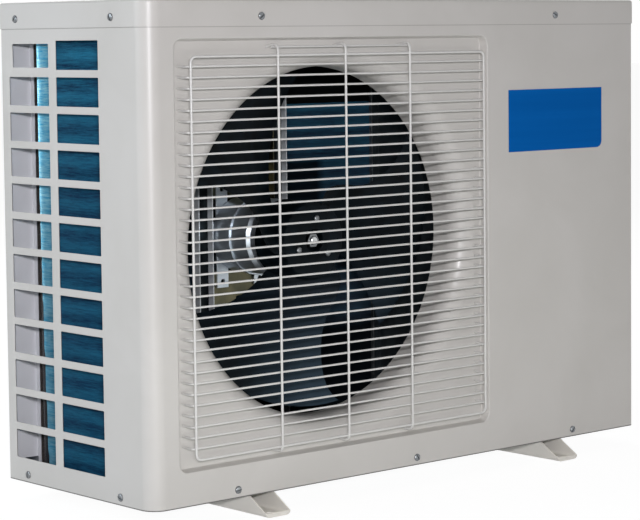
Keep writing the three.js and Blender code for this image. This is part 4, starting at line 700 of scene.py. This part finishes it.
wheel_parts = []
for k in range(3):
    points, faces = blade(FAN["phase"] + k * 120)
    wheel_parts.append(plain_mesh("blade", points, faces, 60))
floor = FAN["hub_front"] + FAN["pocket_depth"]
rear = FAN["hub_front"] + FAN["hub_length"]
hub = turned([(FAN["bore"], floor), (FAN["pocket"], floor), (FAN["pocket"], FAN["hub_front"]),
              (FAN["hub"] - FAN["hub_edge"], FAN["hub_front"]),
              (FAN["hub"] - FAN["shoulder"][0], FAN["hub_front"] + FAN["shoulder"][1]),
              (FAN["hub"], FAN["hub_front"] + FAN["hub_edge"]), (FAN["hub"], rear), (FAN["bore"], rear)],
             "y", AXIS, 64)
wheel_parts.append(softened(hub, 0.6))

# Glass-filled polypropylene, moulded: black with a faint cold sheen where the glass lies near the skin.
# The blade that rests at the bottom carries painted light: a paler blue grey.
LOWER_BLADE_LIGHT = {"x": (190, 280), "z": (250, 90)}
fan_plastic, tree, place = surface("glass_filled_polypropylene", Roughness=0.55, Specular_IOR_Level=0.07)
flow = noise(tree, place, 26, 5, Distortion=1.5)
tone = toned(tree, flow, (0.35, "#04080B"), (0.7, "#0C151B"))
axes = axes_of(tree, place)
blade_light_start, blade_light_full = (case_point(x, 0, z) for x, z in zip(LOWER_BLADE_LIGHT["x"], LOWER_BLADE_LIGHT["z"]))
lit_lower_blade = times(tree, ramp(tree, axes["Z"], (blade_light_start[2], 0), (blade_light_full[2], 0.85)),
                ramp(tree, axes["X"], (blade_light_start[0], 0.1), (blade_light_full[0], 1)))
feed(tree, "Base Color", blended(tree, lit_lower_blade, tone, "#34434F"))
finished("fan_wheel_moulding", joined("fan_wheel", wheel_parts), fan_plastic, "fan", "dark_plastic",
         "fan_wheel")

# Zinc plated steel screws: grey metal, dark in the slot, a bright glint on the dome.
screw_zinc = wavering("zinc_plated_screw", 500, 2, 0.22, 0.42, Base_Color=linear("#7C7F82"), Metallic=1.0,
                      Roughness=0.3)
dressed("fan_nut", "fan_nut_steel", screw_zinc, "bright_steel", 0.4, body="fan")

HUB_SCREW = {"circle": 27, "radius": 4, "height": 2.6, "first": 82, "sunk": 2}
front, radius, height = FAN["hub_front"], HUB_SCREW["radius"], HUB_SCREW["height"]
dome = [(0.01, front - height), (0.01, front + HUB_SCREW["sunk"]), (radius, front + HUB_SCREW["sunk"]),
        (radius, front - height * 0.4), (radius * 0.75, front - height * 0.85)]
hub_screws = []
for k in range(3):
    angle = math.radians(HUB_SCREW["first"] + 120 * k)
    seat = (AXIS[0] + HUB_SCREW["circle"] * math.cos(angle), 0,
            AXIS[2] + HUB_SCREW["circle"] * math.sin(angle))
    hub_screws.append(turned(dome[::-1], "y", seat, 20, 50))
finished("hub_screw_heads", joined("hub_screws", hub_screws), screw_zinc, "fan", "bright_steel")


# ---------------------------------------------------------------- front panel
# One sheet of 1 mm steel wrapped round the front and left side. Its left side is punched with two
# columns of windows, and its front is pressed back to a shallow tray whose floor rolls into the bell
# mouth round the fan. The sheet is powder coated on both sides.

def rounded_rect(x0, z0, x1, z1, radius, steps=6):
    """Points round a rectangle with round corners, anticlockwise from the low left corner."""
    points = []
    for k, (cx, cz) in enumerate(((x0 + radius, z0 + radius), (x1 - radius, z0 + radius),
                                  (x1 - radius, z1 - radius), (x0 + radius, z1 - radius))):
        for i in range(steps + 1):
            angle = math.pi + (k + i / steps) * math.pi / 2
            points.append((cx + radius * math.cos(angle), cz + radius * math.sin(angle)))
    return points


def ring(cx, cz, radius, steps=128):
    """Points round a circle."""
    return [(cx + radius * math.cos(2 * math.pi * i / steps), cz + radius * math.sin(2 * math.pi * i / steps))
            for i in range(steps)]


class Sheet:
    """Gathers the outer face of a folded sheet in mm; solid() gives it its thickness inwards."""

    def __init__(self):
        self.points, self.faces = [], []

    def flat(self, outer, holes, lift):
        """A flat region with convex holes: outlines in two axes, lifted to three by a function."""
        loops = [outer] + holes
        points, edges, owner = [], [], []
        for k, loop in enumerate(loops):
            start = len(points)
            points += [Vector(p) for p in loop]
            owner += [k] * len(loop)
            edges += [(start + i, start + (i + 1) % len(loop)) for i in range(len(loop))]
        found, _, faces, origins, _, _ = geometry.delaunay_2d_cdt(points, edges, [], 1, 1e-5)
        base = len(self.points)
        self.points += [case_point(*lift(p.x, p.y)) for p in found]
        for face in faces:
            owners = {owner[origins[i][0]] for i in face}
            if len(owners) > 1 or owners == {0}:
                self.faces.append([base + i for i in face])

    def band(self, first, second, closed=False):
        """Quads between two rows of points in three axes."""
        base, count = len(self.points), len(first)
        self.points += [case_point(*p) for p in first] + [case_point(*p) for p in second]
        for i in range(count if closed else count - 1):
            j = (i + 1) % count
            self.faces.append((base + i, base + j, base + count + j, base + count + i))

    def rings(self, rows):
        """Closed bands of quads between each row of points and the next."""
        for first, second in zip(rows, rows[1:]):
            self.band(first, second, closed=True)

    def solid(self, name, thickness, smooth=30):
        """The gathered faces as a mesh with a thickness in mm."""
        mesh = plain_mesh(name, self.points, self.faces, smooth)
        return through(mesh, ("SOLIDIFY", {"thickness": thickness / 1000, "offset": -1,
                                           "use_even_offset": True, "use_rim": True}),
                       ("WEIGHTED_NORMAL", {"keep_sharp": True, "weight": 100}))


CASE = {"width": 820, "depth": 292, "height": 577, "inset": 1.3, "bend": 5, "corner": 22}
SHEET = 1.0
PANEL_TOP = CASE["height"] - CASE["inset"]
near, far = CASE["inset"], CASE["width"] - CASE["inset"]
back = CASE["depth"] - CASE["inset"]
sharp, wide = CASE["bend"] - CASE["inset"], CASE["corner"] - CASE["inset"]


def bend_points(cx, cy, radius, start, stop, steps):
    """Plan points round a bend, by angles in degrees."""
    return [(cx + radius * math.cos(math.radians(start + (stop - start) * i / steps)),
             cy + radius * math.sin(math.radians(start + (stop - start) * i / steps)))
            for i in range(steps + 1)]


def fold(sheet, plan, z0, z1):
    """A strip of sheet that follows plan points, standing from z0 to z1."""
    sheet.band([(x, y, z0) for x, y in plan], [(x, y, z1) for x, y in plan])


WINDOW = {"front": (91, 175), "rear": (190, 272.5), "top": 531.5, "pitch": 42.6, "height": 34, "rows": 12,
          "corner": 1.2, "top_rear": (190, 500, 265, 528)}
FRONT_FOLDS = {"right": 13.3, "rear": 44, "rear_bend": 1, "rear_lip": 8}
TRAY = {"x0": 41.5, "x1": 541, "z0": 39, "z1": 532, "depth": 12, "slope": 2.5, "radius": 12,
        "floor_radius": 8, "edge_bend": 1.6, "floor_bend": 1.2}
MOUTH = {"throat": 212, "lip": 26, "end": 62.3}

front_sheet = Sheet()
windows = []
for i in range(WINDOW["rows"]):
    z1 = WINDOW["top"] - i * WINDOW["pitch"]
    z0 = z1 - WINDOW["height"]
    windows.append(rounded_rect(WINDOW["front"][0], z0, WINDOW["front"][1], z1, WINDOW["corner"], 3))
    if i:
        windows.append(rounded_rect(WINDOW["rear"][0], z0, WINDOW["rear"][1], z1, WINDOW["corner"], 3))
windows.append(rounded_rect(*WINDOW["top_rear"], WINDOW["corner"], 3))
left_outline = [(CASE["corner"], 0), (CASE["depth"] - CASE["bend"], 0),
                (CASE["depth"] - CASE["bend"], PANEL_TOP), (CASE["corner"], PANEL_TOP)]
front_sheet.flat(left_outline, windows, lambda y, z: (near, y, z))

lean = math.atan2(TRAY["depth"], TRAY["slope"])


def tray_profile():
    """The tray wall as (inset, depth): a convex bend at the mouth, a straight wall, a bend at the floor."""
    line = []
    for radius, start, sign in ((TRAY["edge_bend"], (0, 0), 1), (TRAY["floor_bend"],
                                                                 (TRAY["slope"], TRAY["depth"]), -1)):
        reach = radius * math.tan(lean / 2)
        for i in range(7):
            turn = lean * i / 6
            if sign > 0:
                line.append((start[0] - reach + radius * math.sin(turn), radius * (1 - math.cos(turn))))
            else:
                line.append((start[0] + reach - radius * math.sin(lean - turn),
                             start[1] - radius * (1 - math.cos(lean - turn))))
    return line


def tray_loop(inset, depth):
    """The tray's outline at an inset, its corners tighter with its depth."""
    share = max(0.0, min(1.0, depth / TRAY["depth"]))
    radius = TRAY["radius"] + (TRAY["floor_radius"] - TRAY["radius"]) * share
    return rounded_rect(TRAY["x0"] + inset, TRAY["z0"] + inset, TRAY["x1"] - inset, TRAY["z1"] - inset,
                        radius, 8)


levels = tray_profile()
mouth_outline = tray_loop(*levels[0])
front_outline = [(CASE["corner"], 0), (CASE["width"] - CASE["bend"], 0),
                 (CASE["width"] - CASE["bend"], PANEL_TOP), (CASE["corner"], PANEL_TOP)]
front_sheet.flat(front_outline, [mouth_outline], lambda x, z: (x, near, z))
front_sheet.rings([[(x, near + depth, z) for x, z in tray_loop(inset, depth)] for inset, depth in levels])
floor_y = near + TRAY["depth"]
front_sheet.flat(tray_loop(*levels[-1]), [ring(AXIS[0], AXIS[2], MOUTH["throat"] + MOUTH["lip"])],
                 lambda x, z: (x, floor_y, z))
lip_rows = []
for i in range(13):
    turn = math.radians(90 * i / 12)
    radius = MOUTH["throat"] + MOUTH["lip"] * (1 - math.sin(turn))
    lip_rows.append([(x, floor_y + MOUTH["lip"] * (1 - math.cos(turn)), z)
                     for x, z in ring(AXIS[0], AXIS[2], radius)])
lip_rows.append([(x, MOUTH["end"], z) for x, z in ring(AXIS[0], AXIS[2], MOUTH["throat"])])
front_sheet.rings(lip_rows)

fold(front_sheet, [(far, FRONT_FOLDS["right"])]
     + bend_points(CASE["width"] - CASE["bend"], CASE["bend"], sharp, 0, -90, 6), 0, PANEL_TOP)
fold(front_sheet, bend_points(CASE["corner"], CASE["corner"], wide, -90, -180, 16), 0, PANEL_TOP)
rear_edge = FRONT_FOLDS["rear"] - FRONT_FOLDS["rear_bend"]
fold(front_sheet, bend_points(CASE["bend"], CASE["depth"] - CASE["bend"], sharp, 180, 90, 6)
     + [(rear_edge, back)] + bend_points(rear_edge, back - FRONT_FOLDS["rear_bend"],
                                         FRONT_FOLDS["rear_bend"], 90, 0, 3)
     + [(FRONT_FOLDS["rear"], back - FRONT_FOLDS["rear_lip"])], 0, PANEL_TOP)
front_mesh = front_sheet.solid("front_panel", SHEET)
finished("front_panel_pressing", front_mesh, case_paint, "unit", "case_paint", "front_panel", "fan_ring")


# ---------------------------------------------------------------- corner dark strip
# A dark strip on the edge of the front panel's return, beside the coil: painted shade as a piece, standing
# for the dark gap there. It shows as a dark line in the rear column of windows.
DARK_GAP = {"x0": 44.3, "x1": 57, "y0": 283.6, "y1": 290.6, "z0": 8, "z1": 545}
dark_gap_strip = softened(block(*DARK_GAP.values()), 1.2)
dark_gap_finish, tree, place = surface("closed_cell_foam", Roughness=0.95)
pores = add(tree, "ShaderNodeTexVoronoi", {"Vector": place, "Scale": 900.0})
feed(tree, "Base Color", toned(tree, pores.outputs["Distance"], (0, "#5E5652"), (1, "#2C2A2A")))
finished("corner_seal_foam", dark_gap_strip, dark_gap_finish, "unit", "black_rubber")


# ---------------------------------------------------------------- wire grille
# A finger guard welded from drawn steel wire and dipped in white plastic: a closed loop, three uprights
# hooked over the tray's top edge, 36 level wires whose ends turn back to the tray's floor, and a tie wire.

# Polyethylene dip coat: off-white, waxy gloss, slightly thicker in drops, so the shine wavers.
coated_wire = grained("white_dip_coated_wire", 130, 2, 0.15, 0.0006, Base_Color=linear("#D6D5D2"),
                      Roughness=0.3)

GRILLE = {"wire": 3, "cross": 2.5, "loop_y": -8, "cross_y": -5.65, "upright_y": -8.4, "half": 233.5,
          "top": 512, "bottom": 54, "spacing": 105.3, "first": 66.9, "pitch": 12.4, "count": 36,
          "bend": 7, "cross_bend": 3.5, "foot_z": 48, "hook_z": (526, 522), "tie_z": 521.6, "tie_end": 3,
          "seat": 0.3}
seat = floor_y - GRILLE["seat"]
leg = GRILLE["half"] + (GRILLE["wire"] + GRILLE["cross"]) / 2
left_x, right_x = AXIS[0] - GRILLE["half"], AXIS[0] + GRILLE["half"]
first_x, last_x = AXIS[0] - GRILLE["spacing"], AXIS[0] + GRILLE["spacing"]
grille_parts = [
    rod_set([(x, GRILLE["loop_y"], z) for x, z in (
        (left_x, GRILLE["bottom"]), (right_x, GRILLE["bottom"]), (right_x, GRILLE["top"]),
        (left_x, GRILLE["top"]))], coated_wire, GRILLE["wire"] / 2, GRILLE["bend"], closed=True),
    rod_set([(x, y, GRILLE["first"]) for x, y in (
        (AXIS[0] - leg, seat), (AXIS[0] - leg, GRILLE["cross_y"]), (AXIS[0] + leg, GRILLE["cross_y"]),
        (AXIS[0] + leg, seat))], coated_wire, GRILLE["cross"] / 2, GRILLE["cross_bend"], GRILLE["count"],
            (0, 0, GRILLE["pitch"]), 10),
    rod_set([(first_x, y, z) for y, z in (
        (seat, GRILLE["foot_z"]), (GRILLE["upright_y"], GRILLE["foot_z"]),
        (GRILLE["upright_y"], GRILLE["hook_z"][0]), (seat, GRILLE["hook_z"][1]))],
            coated_wire, GRILLE["wire"] / 2, GRILLE["bend"], 3, (GRILLE["spacing"], 0, 0)),
    rod_set([(x, 0, GRILLE["tie_z"]) for x in (first_x - GRILLE["tie_end"], last_x + GRILLE["tie_end"])],
            coated_wire, GRILLE["cross"] / 2, 0, sides=10),
]
finished("wire_grille_guard", joined("wire_grille", grille_parts), coated_wire, "unit", "coated_wire",
         "wire_grille")


# ---------------------------------------------------------------- rear guard
# A coarser guard of 4 mm coated wire over the coil's rear: a loop, eight level wires and five uprights.
GUARD = {"x0": 26, "x1": 586, "z0": 30, "z1": 540, "wire": 4, "levels": 8, "uprights": 5, "bend": 14,
         "gap": 0.3, "weld": 0.5, "past": 2}
guard_y = back + GUARD["gap"] + GUARD["wire"] / 2
crossed_y = guard_y + GUARD["wire"] - GUARD["weld"]
level_step = (GUARD["z1"] - GUARD["z0"]) / (GUARD["levels"] + 1)
upright_step = (GUARD["x1"] - GUARD["x0"]) / (GUARD["uprights"] + 1)
first_level, first_upright = GUARD["z0"] + level_step, GUARD["x0"] + upright_step
guard_parts = [
    rod_set([(x, guard_y, z) for x, z in (
        (GUARD["x0"], GUARD["z0"]), (GUARD["x1"], GUARD["z0"]), (GUARD["x1"], GUARD["z1"]),
        (GUARD["x0"], GUARD["z1"]))], coated_wire, GUARD["wire"] / 2, GUARD["bend"], closed=True),
    rod_set([(x, guard_y, first_level) for x in (GUARD["x0"], GUARD["x1"])],
            coated_wire, GUARD["wire"] / 2, 0, GUARD["levels"], (0, 0, level_step)),
    rod_set([(first_upright, crossed_y, z) for z in (GUARD["z0"] - GUARD["past"],
                                                     GUARD["z1"] + GUARD["past"])],
            coated_wire, GUARD["wire"] / 2, 0, GUARD["uprights"], (upright_step, 0, 0)),
]
finished("rear_guard_wires", joined("rear_guard", guard_parts), coated_wire, "unit", "coated_wire",
         "rear_guard")


# ---------------------------------------------------------------- service panel
# The second wrapped sheet covers the machine chamber's right side and rear, with punched cooling slots,
# two holes for the water unions, one for the cable gland and the wiring opening under the cover.
dressed("service_panel", "service_panel_sheet", case_paint, "case_paint", 0.2)

# ABS, injection moulded: light grey with a fine spark-eroded grain, duller than the paint round it.
case_plastic = grained("grained_abs", 1100, 2, 0.2, 0.0002, Base_Color=linear("#BDBDBA"), Roughness=0.52)
dressed("service_cover", "service_cover_moulding", case_plastic, "case_plastic", 1.0)


# ---------------------------------------------------------------- water heat exchanger and unions
# A glass-filled plastic vessel with moulded ports, and at each port a union: a threaded body, a loose
# ribbed nut and a socket tail for 50 mm pipe.
dressed("water_heat_exchanger", "heat_exchanger_vessel", dark_plastic, "dark_plastic", 0.8, 28)

# PVC-U, moulded: mid grey, smooth, faintly waxy.
pipe_plastic = wavering("moulded_grey_pvc", 60, 3, 0.34, 0.48, Base_Color=linear("#6F757B"), Roughness=0.4)
for port in ("water_inlet", "water_outlet"):
    body = "inlet_nut" if port == "water_inlet" else "outlet_nut"
    dressed(f"{port}_union", f"{port}_union_body", pipe_plastic, "pipe_plastic", 0.4, 28)
    dressed(f"{port}_tail", f"{port}_socket_tail", pipe_plastic, "pipe_plastic", 0.4, 28)
    dressed(f"{port}_nut", f"{port}_ribbed_nut", dark_plastic, "dark_plastic", 0.5, body=body)


# ---------------------------------------------------------------- electric box
# A galvanised tray over the compressor for the control board, the run capacitor and the terminals, with
# the cable gland in the panel below the cover.
dressed("electric_box", "electric_box_tray", galvanised, "galvanised_sheet", 0.2)

# Solder-masked glass epoxy board: deep green with a wet gloss over darker copper tracks.
board_green, tree, place = surface("solder_masked_board", Roughness=0.3)
tracks = add(tree, "ShaderNodeTexBrick", {"Vector": place, "Scale": 120.0, "Color1": linear("#1E6B42"),
                                          "Color2": linear("#23754A"), "Mortar": linear("#124A2C")})
feed(tree, "Base Color", tracks.outputs["Color"])
dressed("control_board", "control_board_assembly", board_green, "board_green")

# Drawn aluminium can: pale satin metal.
pale_can = wavering("drawn_aluminium_can", 200, 2, 0.28, 0.4, Base_Color=linear("#D0D2D3"), Metallic=0.9,
                    Roughness=0.34)
dressed("run_capacitor", "run_capacitor_can", pale_can, "pale_can", 0.5, 28)

# Polyamide, moulded: ivory, soft sheen.
ivory = grained("moulded_polyamide", 400, 2, 0.1, 0.0002, Base_Color=linear("#E2DDCC"), Roughness=0.45)
dressed("terminal_block", "terminal_block_moulding", ivory, "ivory_plastic")
dressed("cable_gland", "cable_gland_moulding", dark_plastic, "dark_plastic", 0.5, 40)


# ---------------------------------------------------------------- lid
# A shallow steel box pressed from one sheet, its edges rolled over, with three long beads pressed into
# the top to stiffen it. It drops over the panels and is screwed through its lip.
LID = {"lip": 31, "roll": 3.5}
BEAD = {"margin": 130, "width": 26, "depth": 1.5, "pitch": 78, "edge": 3}


def plan_outline(inset, steps=12):
    """The case's outline in plan, drawn in by an inset, anticlockwise seen from above."""
    x1, y1 = CASE["width"], CASE["depth"]
    small = max(CASE["bend"] - inset, 0.4)
    large = CASE["corner"] - inset
    points = []
    for cx, cy, radius, start in ((inset + large, inset + large, large, 180),
                                  (x1 - inset - small, inset + small, small, 270),
                                  (x1 - inset - small, y1 - inset - small, small, 0),
                                  (inset + small, y1 - inset - small, small, 90)):
        points += bend_points(cx, cy, radius, start, start + 90, steps)
    return points


lid_sheet = Sheet()
rows = [(0, CASE["height"] - LID["lip"])]
for i in range(7):
    turn = math.radians(90 * i / 6)
    rows.append((LID["roll"] * (1 - math.cos(turn)), CASE["height"] - LID["roll"] * (1 - math.sin(turn))))
lid_sheet.rings([[(x, y, z) for x, y in plan_outline(inset)] for inset, z in rows])
bead_holes = []
for k in (-1, 0, 1):
    middle = CASE["depth"] / 2 + k * BEAD["pitch"]
    half = BEAD["width"] / 2

    def bead_loop(inset):
        return rounded_rect(BEAD["margin"] + inset, middle - half + inset,
                            CASE["width"] - BEAD["margin"] - inset, middle + half - inset, half - inset, 10)
    steps = []
    for i in range(6):
        share = i / 5
        ease = share * share * (3 - 2 * share)
        steps.append((BEAD["edge"] * share, CASE["height"] - BEAD["depth"] * ease))
    bead_holes.append(bead_loop(0))
    lid_sheet.rings([[(x, y, z) for x, y in bead_loop(inset)] for inset, z in steps])
    lid_sheet.flat(bead_loop(BEAD["edge"]), [], lambda x, y: (x, y, CASE["height"] - BEAD["depth"]))
lid_sheet.flat(plan_outline(LID["roll"]), bead_holes, lambda x, y: (x, y, CASE["height"]))
finished("lid_pressing", lid_sheet.solid("lid", SHEET), case_paint, "unit", "case_paint", "top_cover")


# ---------------------------------------------------------------- case screws
# Slotted pan-head screws, 9.2 mm across, zinc plated. They hold the lid through its lip and the
# panels to the pan.
SCREW = {"radius": 4.6, "height": 2.4, "slot": 1.4, "slot_depth": 1.6, "turn": 0.7, "next_turn": 1.9}


def screw_head():
    """One pan head standing along +X of its own place, with its driver slot."""
    radius, height = SCREW["radius"], SCREW["height"]
    profile = [(0, 0), (radius, 0), (radius, 0.7), (radius * 0.93, 1.35), (radius * 0.75, 1.85),
               (radius * 0.45, 2.1), (0, height)]
    points, faces, steps = [], [], 24
    for i in range(steps):
        c, s = math.cos(2 * math.pi * i / steps), math.sin(2 * math.pi * i / steps)
        points += [Vector((h, r * c, r * s)) / 1000 for r, h in profile]
    for i in range(steps):
        for k in range(len(profile) - 1):
            a, b = i * len(profile) + k, (i + 1) % steps * len(profile) + k
            faces.append((a, b, b + 1, a + 1))
    head = plain_mesh("screw_head", points, faces, 50)
    tool = new_object("driver_slot", bpy.data.meshes.new("driver_slot"))
    shape = bmesh.new()
    bmesh.ops.create_cube(shape, size=1, matrix=Matrix.LocRotScale(
        Vector((height, 0, 0)) / 1000, None,
        Vector((2 * SCREW["slot_depth"], 3 * radius, SCREW["slot"])) / 1000))
    shape.to_mesh(tool.data)
    shape.free()
    cut = through(head, ("BOOLEAN", {"object": tool, "operation": "DIFFERENCE", "solver": "EXACT"}))
    bpy.data.objects.remove(tool)
    return cut


screws, given = inputs_of("case_screws", ("Head", "Object"), ("Finish", "Material"))
facing = add(screws, "GeometryNodeInputNamedAttribute", {"Name": "facing"}, data_type="FLOAT_VECTOR")
slot_turn = add(screws, "GeometryNodeInputNamedAttribute", {"Name": "slot_turn"}, data_type="FLOAT")
aim = add(screws, "FunctionNodeAlignRotationToVector", {"Vector": facing.outputs["Attribute"]}, axis="X")
spin = add(screws, "FunctionNodeAxisAngleToRotation", {"Axis": (1, 0, 0),
                                                       "Angle": slot_turn.outputs["Attribute"]})
aimed = add(screws, "FunctionNodeRotateRotation", {"Rotation": aim.outputs["Rotation"],
                                                   "Rotate By": spin.outputs["Rotation"]},
            rotation_space="LOCAL")
head_shape = add(screws, "GeometryNodeObjectInfo", {"Object": given["Head"]})
placed = add(screws, "GeometryNodeInstanceOnPoints", {
    "Points": given["Geometry"], "Instance": head_shape.outputs["Geometry"],
    "Rotation": aimed.outputs["Rotation"]})
close_tree(screws, placed.outputs["Instances"], given["Finish"])

LID_SEATS = {"x": (168.7, 665.6), "y": (63.6, 255.7), "z": 557.5}
PAN_SEATS = {"front_x": (125.6, 412.6, 697.9), "y": (61.7, 248.9), "rear_x": (600, 790), "z": 9.5}
seats = [((x, y, LID_SEATS["z"]), (0, turn, 0)) for y, turn in ((0, -1), (CASE["depth"], 1))
         for x in LID_SEATS["x"]]
seats += [((x, y, LID_SEATS["z"]), (turn, 0, 0)) for x, turn in ((0, -1), (CASE["width"], 1))
          for y in LID_SEATS["y"]]
seats += [((x, near, PAN_SEATS["z"]), (0, -1, 0)) for x in PAN_SEATS["front_x"]]
seats += [((x, y, PAN_SEATS["z"]), (turn, 0, 0)) for x, turn in ((near, -1), (far, 1))
          for y in PAN_SEATS["y"]]
seats += [((x, back, PAN_SEATS["z"]), (0, 1, 0)) for x in PAN_SEATS["rear_x"]]

points_mesh = bpy.data.meshes.new("screw_seats")
points_mesh.from_pydata([case_point(*p) for p, _ in seats], [], [])
points_mesh.attributes.new("facing", "FLOAT_VECTOR", "POINT").data.foreach_set(
    "vector", [c for _, n in seats for c in n])
points_mesh.attributes.new("slot_turn", "FLOAT", "POINT").data.foreach_set(
    "value", [SCREW["turn"] + SCREW["next_turn"] * i for i in range(len(seats))])
head_object = new_object("pan_head", screw_head())
screw_mesh = grown(points_mesh, screws, Head=head_object, Finish=screw_zinc)
bpy.data.objects.remove(head_object)
finished("case_screw_heads", screw_mesh, screw_zinc, "unit", "bright_steel")


# ---------------------------------------------------------------- rating label
# A bare rectangle of self-adhesive blue vinyl on the front panel, its lower right corner cut round.
LABEL = {"x0": 579, "x1": 756.5, "z0": 382.3, "z1": 462, "corner": 9.5, "film": 0.25, "gap": 0.02}

# Cast vinyl film: strong even blue, semi-gloss, with a faint level sheen from the laminating roller.
vinyl = mottled("cast_blue_vinyl", (3, 3, 120), 2, (0.3, "#005AA8"), (0.75, "#0460B0"), Roughness=0.5,
                Specular_IOR_Level=0.04)
label_face = Sheet()
corner = bend_points(LABEL["x1"] - LABEL["corner"], LABEL["z0"] + LABEL["corner"], LABEL["corner"], 270, 360,
                     8)
outline = [(LABEL["x0"], LABEL["z0"])] + corner + [(LABEL["x1"], LABEL["z1"]), (LABEL["x0"], LABEL["z1"])]
label_face.flat(outline, [], lambda x, z: (x, near - LABEL["film"], z))
finished("bare_label_film", label_face.solid("label", LABEL["film"] - LABEL["gap"]), vinyl, "unit",
         "case_plastic")


# ---------------------------------------------------------------- studio
# A pale seamless floor, four soft lamps and an even white room. The floor and the room read as white to
# the camera and in reflections, and the floor keeps the unit's soft shadow.
def white_rays(tree):
    """One for the rays that show the room: the camera's, and those of metal and glass."""
    rays = add(tree, "ShaderNodeLightPath")
    mirrored = maths(tree, "MAXIMUM", rays.outputs["Is Glossy Ray"], rays.outputs["Is Transmission Ray"])
    return maths(tree, "MAXIMUM", rays.outputs["Is Camera Ray"], mirrored)


floor_mesh = bpy.data.meshes.new("studio_floor")
floor_mesh.from_pydata([(-30, -30, 0), (30, -30, 0), (30, 30, 0), (-30, 30, 0)], [], [(0, 1, 2, 3)])
studio_floor = new_object("studio_floor", floor_mesh)
floor_paint = bpy.data.materials.new("studio_paper")
floor_paint.use_nodes = True
tree = floor_paint.node_tree
tree.nodes.remove(tree.nodes["Principled BSDF"])
paper = add(tree, "ShaderNodeBsdfDiffuse", {"Color": (0.85, 0.85, 0.85, 1)})
white = add(tree, "ShaderNodeEmission", {"Color": (1, 1, 1, 1), "Strength": 1.08})
mixed = add(tree, "ShaderNodeMixShader", {"Fac": times(tree, white_rays(tree), 0.88),
                                          1: paper.outputs["BSDF"], 2: white.outputs["Emission"]})
tree.links.new(mixed.outputs["Shader"], tree.nodes["Material Output"].inputs["Surface"])
floor_mesh.materials.append(floor_paint)
studio_floor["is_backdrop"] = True

world = bpy.data.worlds.new("white_room")
bpy.context.scene.world = world
world.use_nodes = True
tree = world.node_tree
backdrop = tree.nodes["Background"]
tree.links.new(ramp(tree, white_rays(tree), (0, 0.12), (1, 1)), backdrop.inputs["Strength"])
backdrop.inputs["Color"].default_value = (1, 1, 1, 1)


def lamp(name, location, target, width, height, power, colour):
    """A soft lamp with a face of width by height metres, aimed at a point."""
    light = bpy.data.lights.new(name, "AREA")
    light.shape = "RECTANGLE"
    light.size, light.size_y = width, height
    light.energy = power
    light.color = linear(colour)[:3]
    holder = new_object(name, light)
    holder.location = location
    holder.rotation_euler = (Vector(target) - Vector(location)).to_track_quat("-Z", "Y").to_euler()


lamp("side_window", (-2.2, 0.7, 1.25), (-0.41, 0, 0.35), 1.2, 1.2, 20, "#E9F6FF")
lamp("flash", (-1.95, -2.3, 0.745), (0, 0, 0.3), 0.5, 0.05, 42.5, "#FCFAFF")
lamp("floor_bounce", (-0.22, -0.66, 0.015), (-0.15, -0.15, 0.14), 1.4, 0.3, 2, "#FBFFF8")
lamp("rear_soft", (1.5, 2.2, 2.6), (0, 0, 0.3), 1.4, 1.4, 40, "#FFFFFF")

camera_data = bpy.data.cameras.new("photo_camera")
camera_data.sensor_width = 36
camera_data.lens = 126.45
camera_data.shift_y = -0.09375
camera_data.clip_start, camera_data.clip_end = 0.1, 100
camera = new_object("photo_camera", camera_data)
yaw, pitch, roll = (math.radians(a) for a in (41.26, -4.16, -0.63))
ahead = Vector((math.sin(yaw) * math.cos(pitch), math.cos(yaw) * math.cos(pitch), math.sin(pitch)))
level_right = Vector((math.cos(yaw), -math.sin(yaw), 0))
level_up = level_right.cross(ahead)
right = math.cos(roll) * level_right + math.sin(roll) * level_up
up = -math.sin(roll) * level_right + math.cos(roll) * level_up
pose = Matrix((right, up, -ahead)).transposed().to_4x4()
pose.translation = (-1.9358, -2.1468, 0.556)
camera.matrix_world = pose
bpy.context.scene.camera = camera

bpy.context.scene.view_settings.view_transform = "Standard"

low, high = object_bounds()
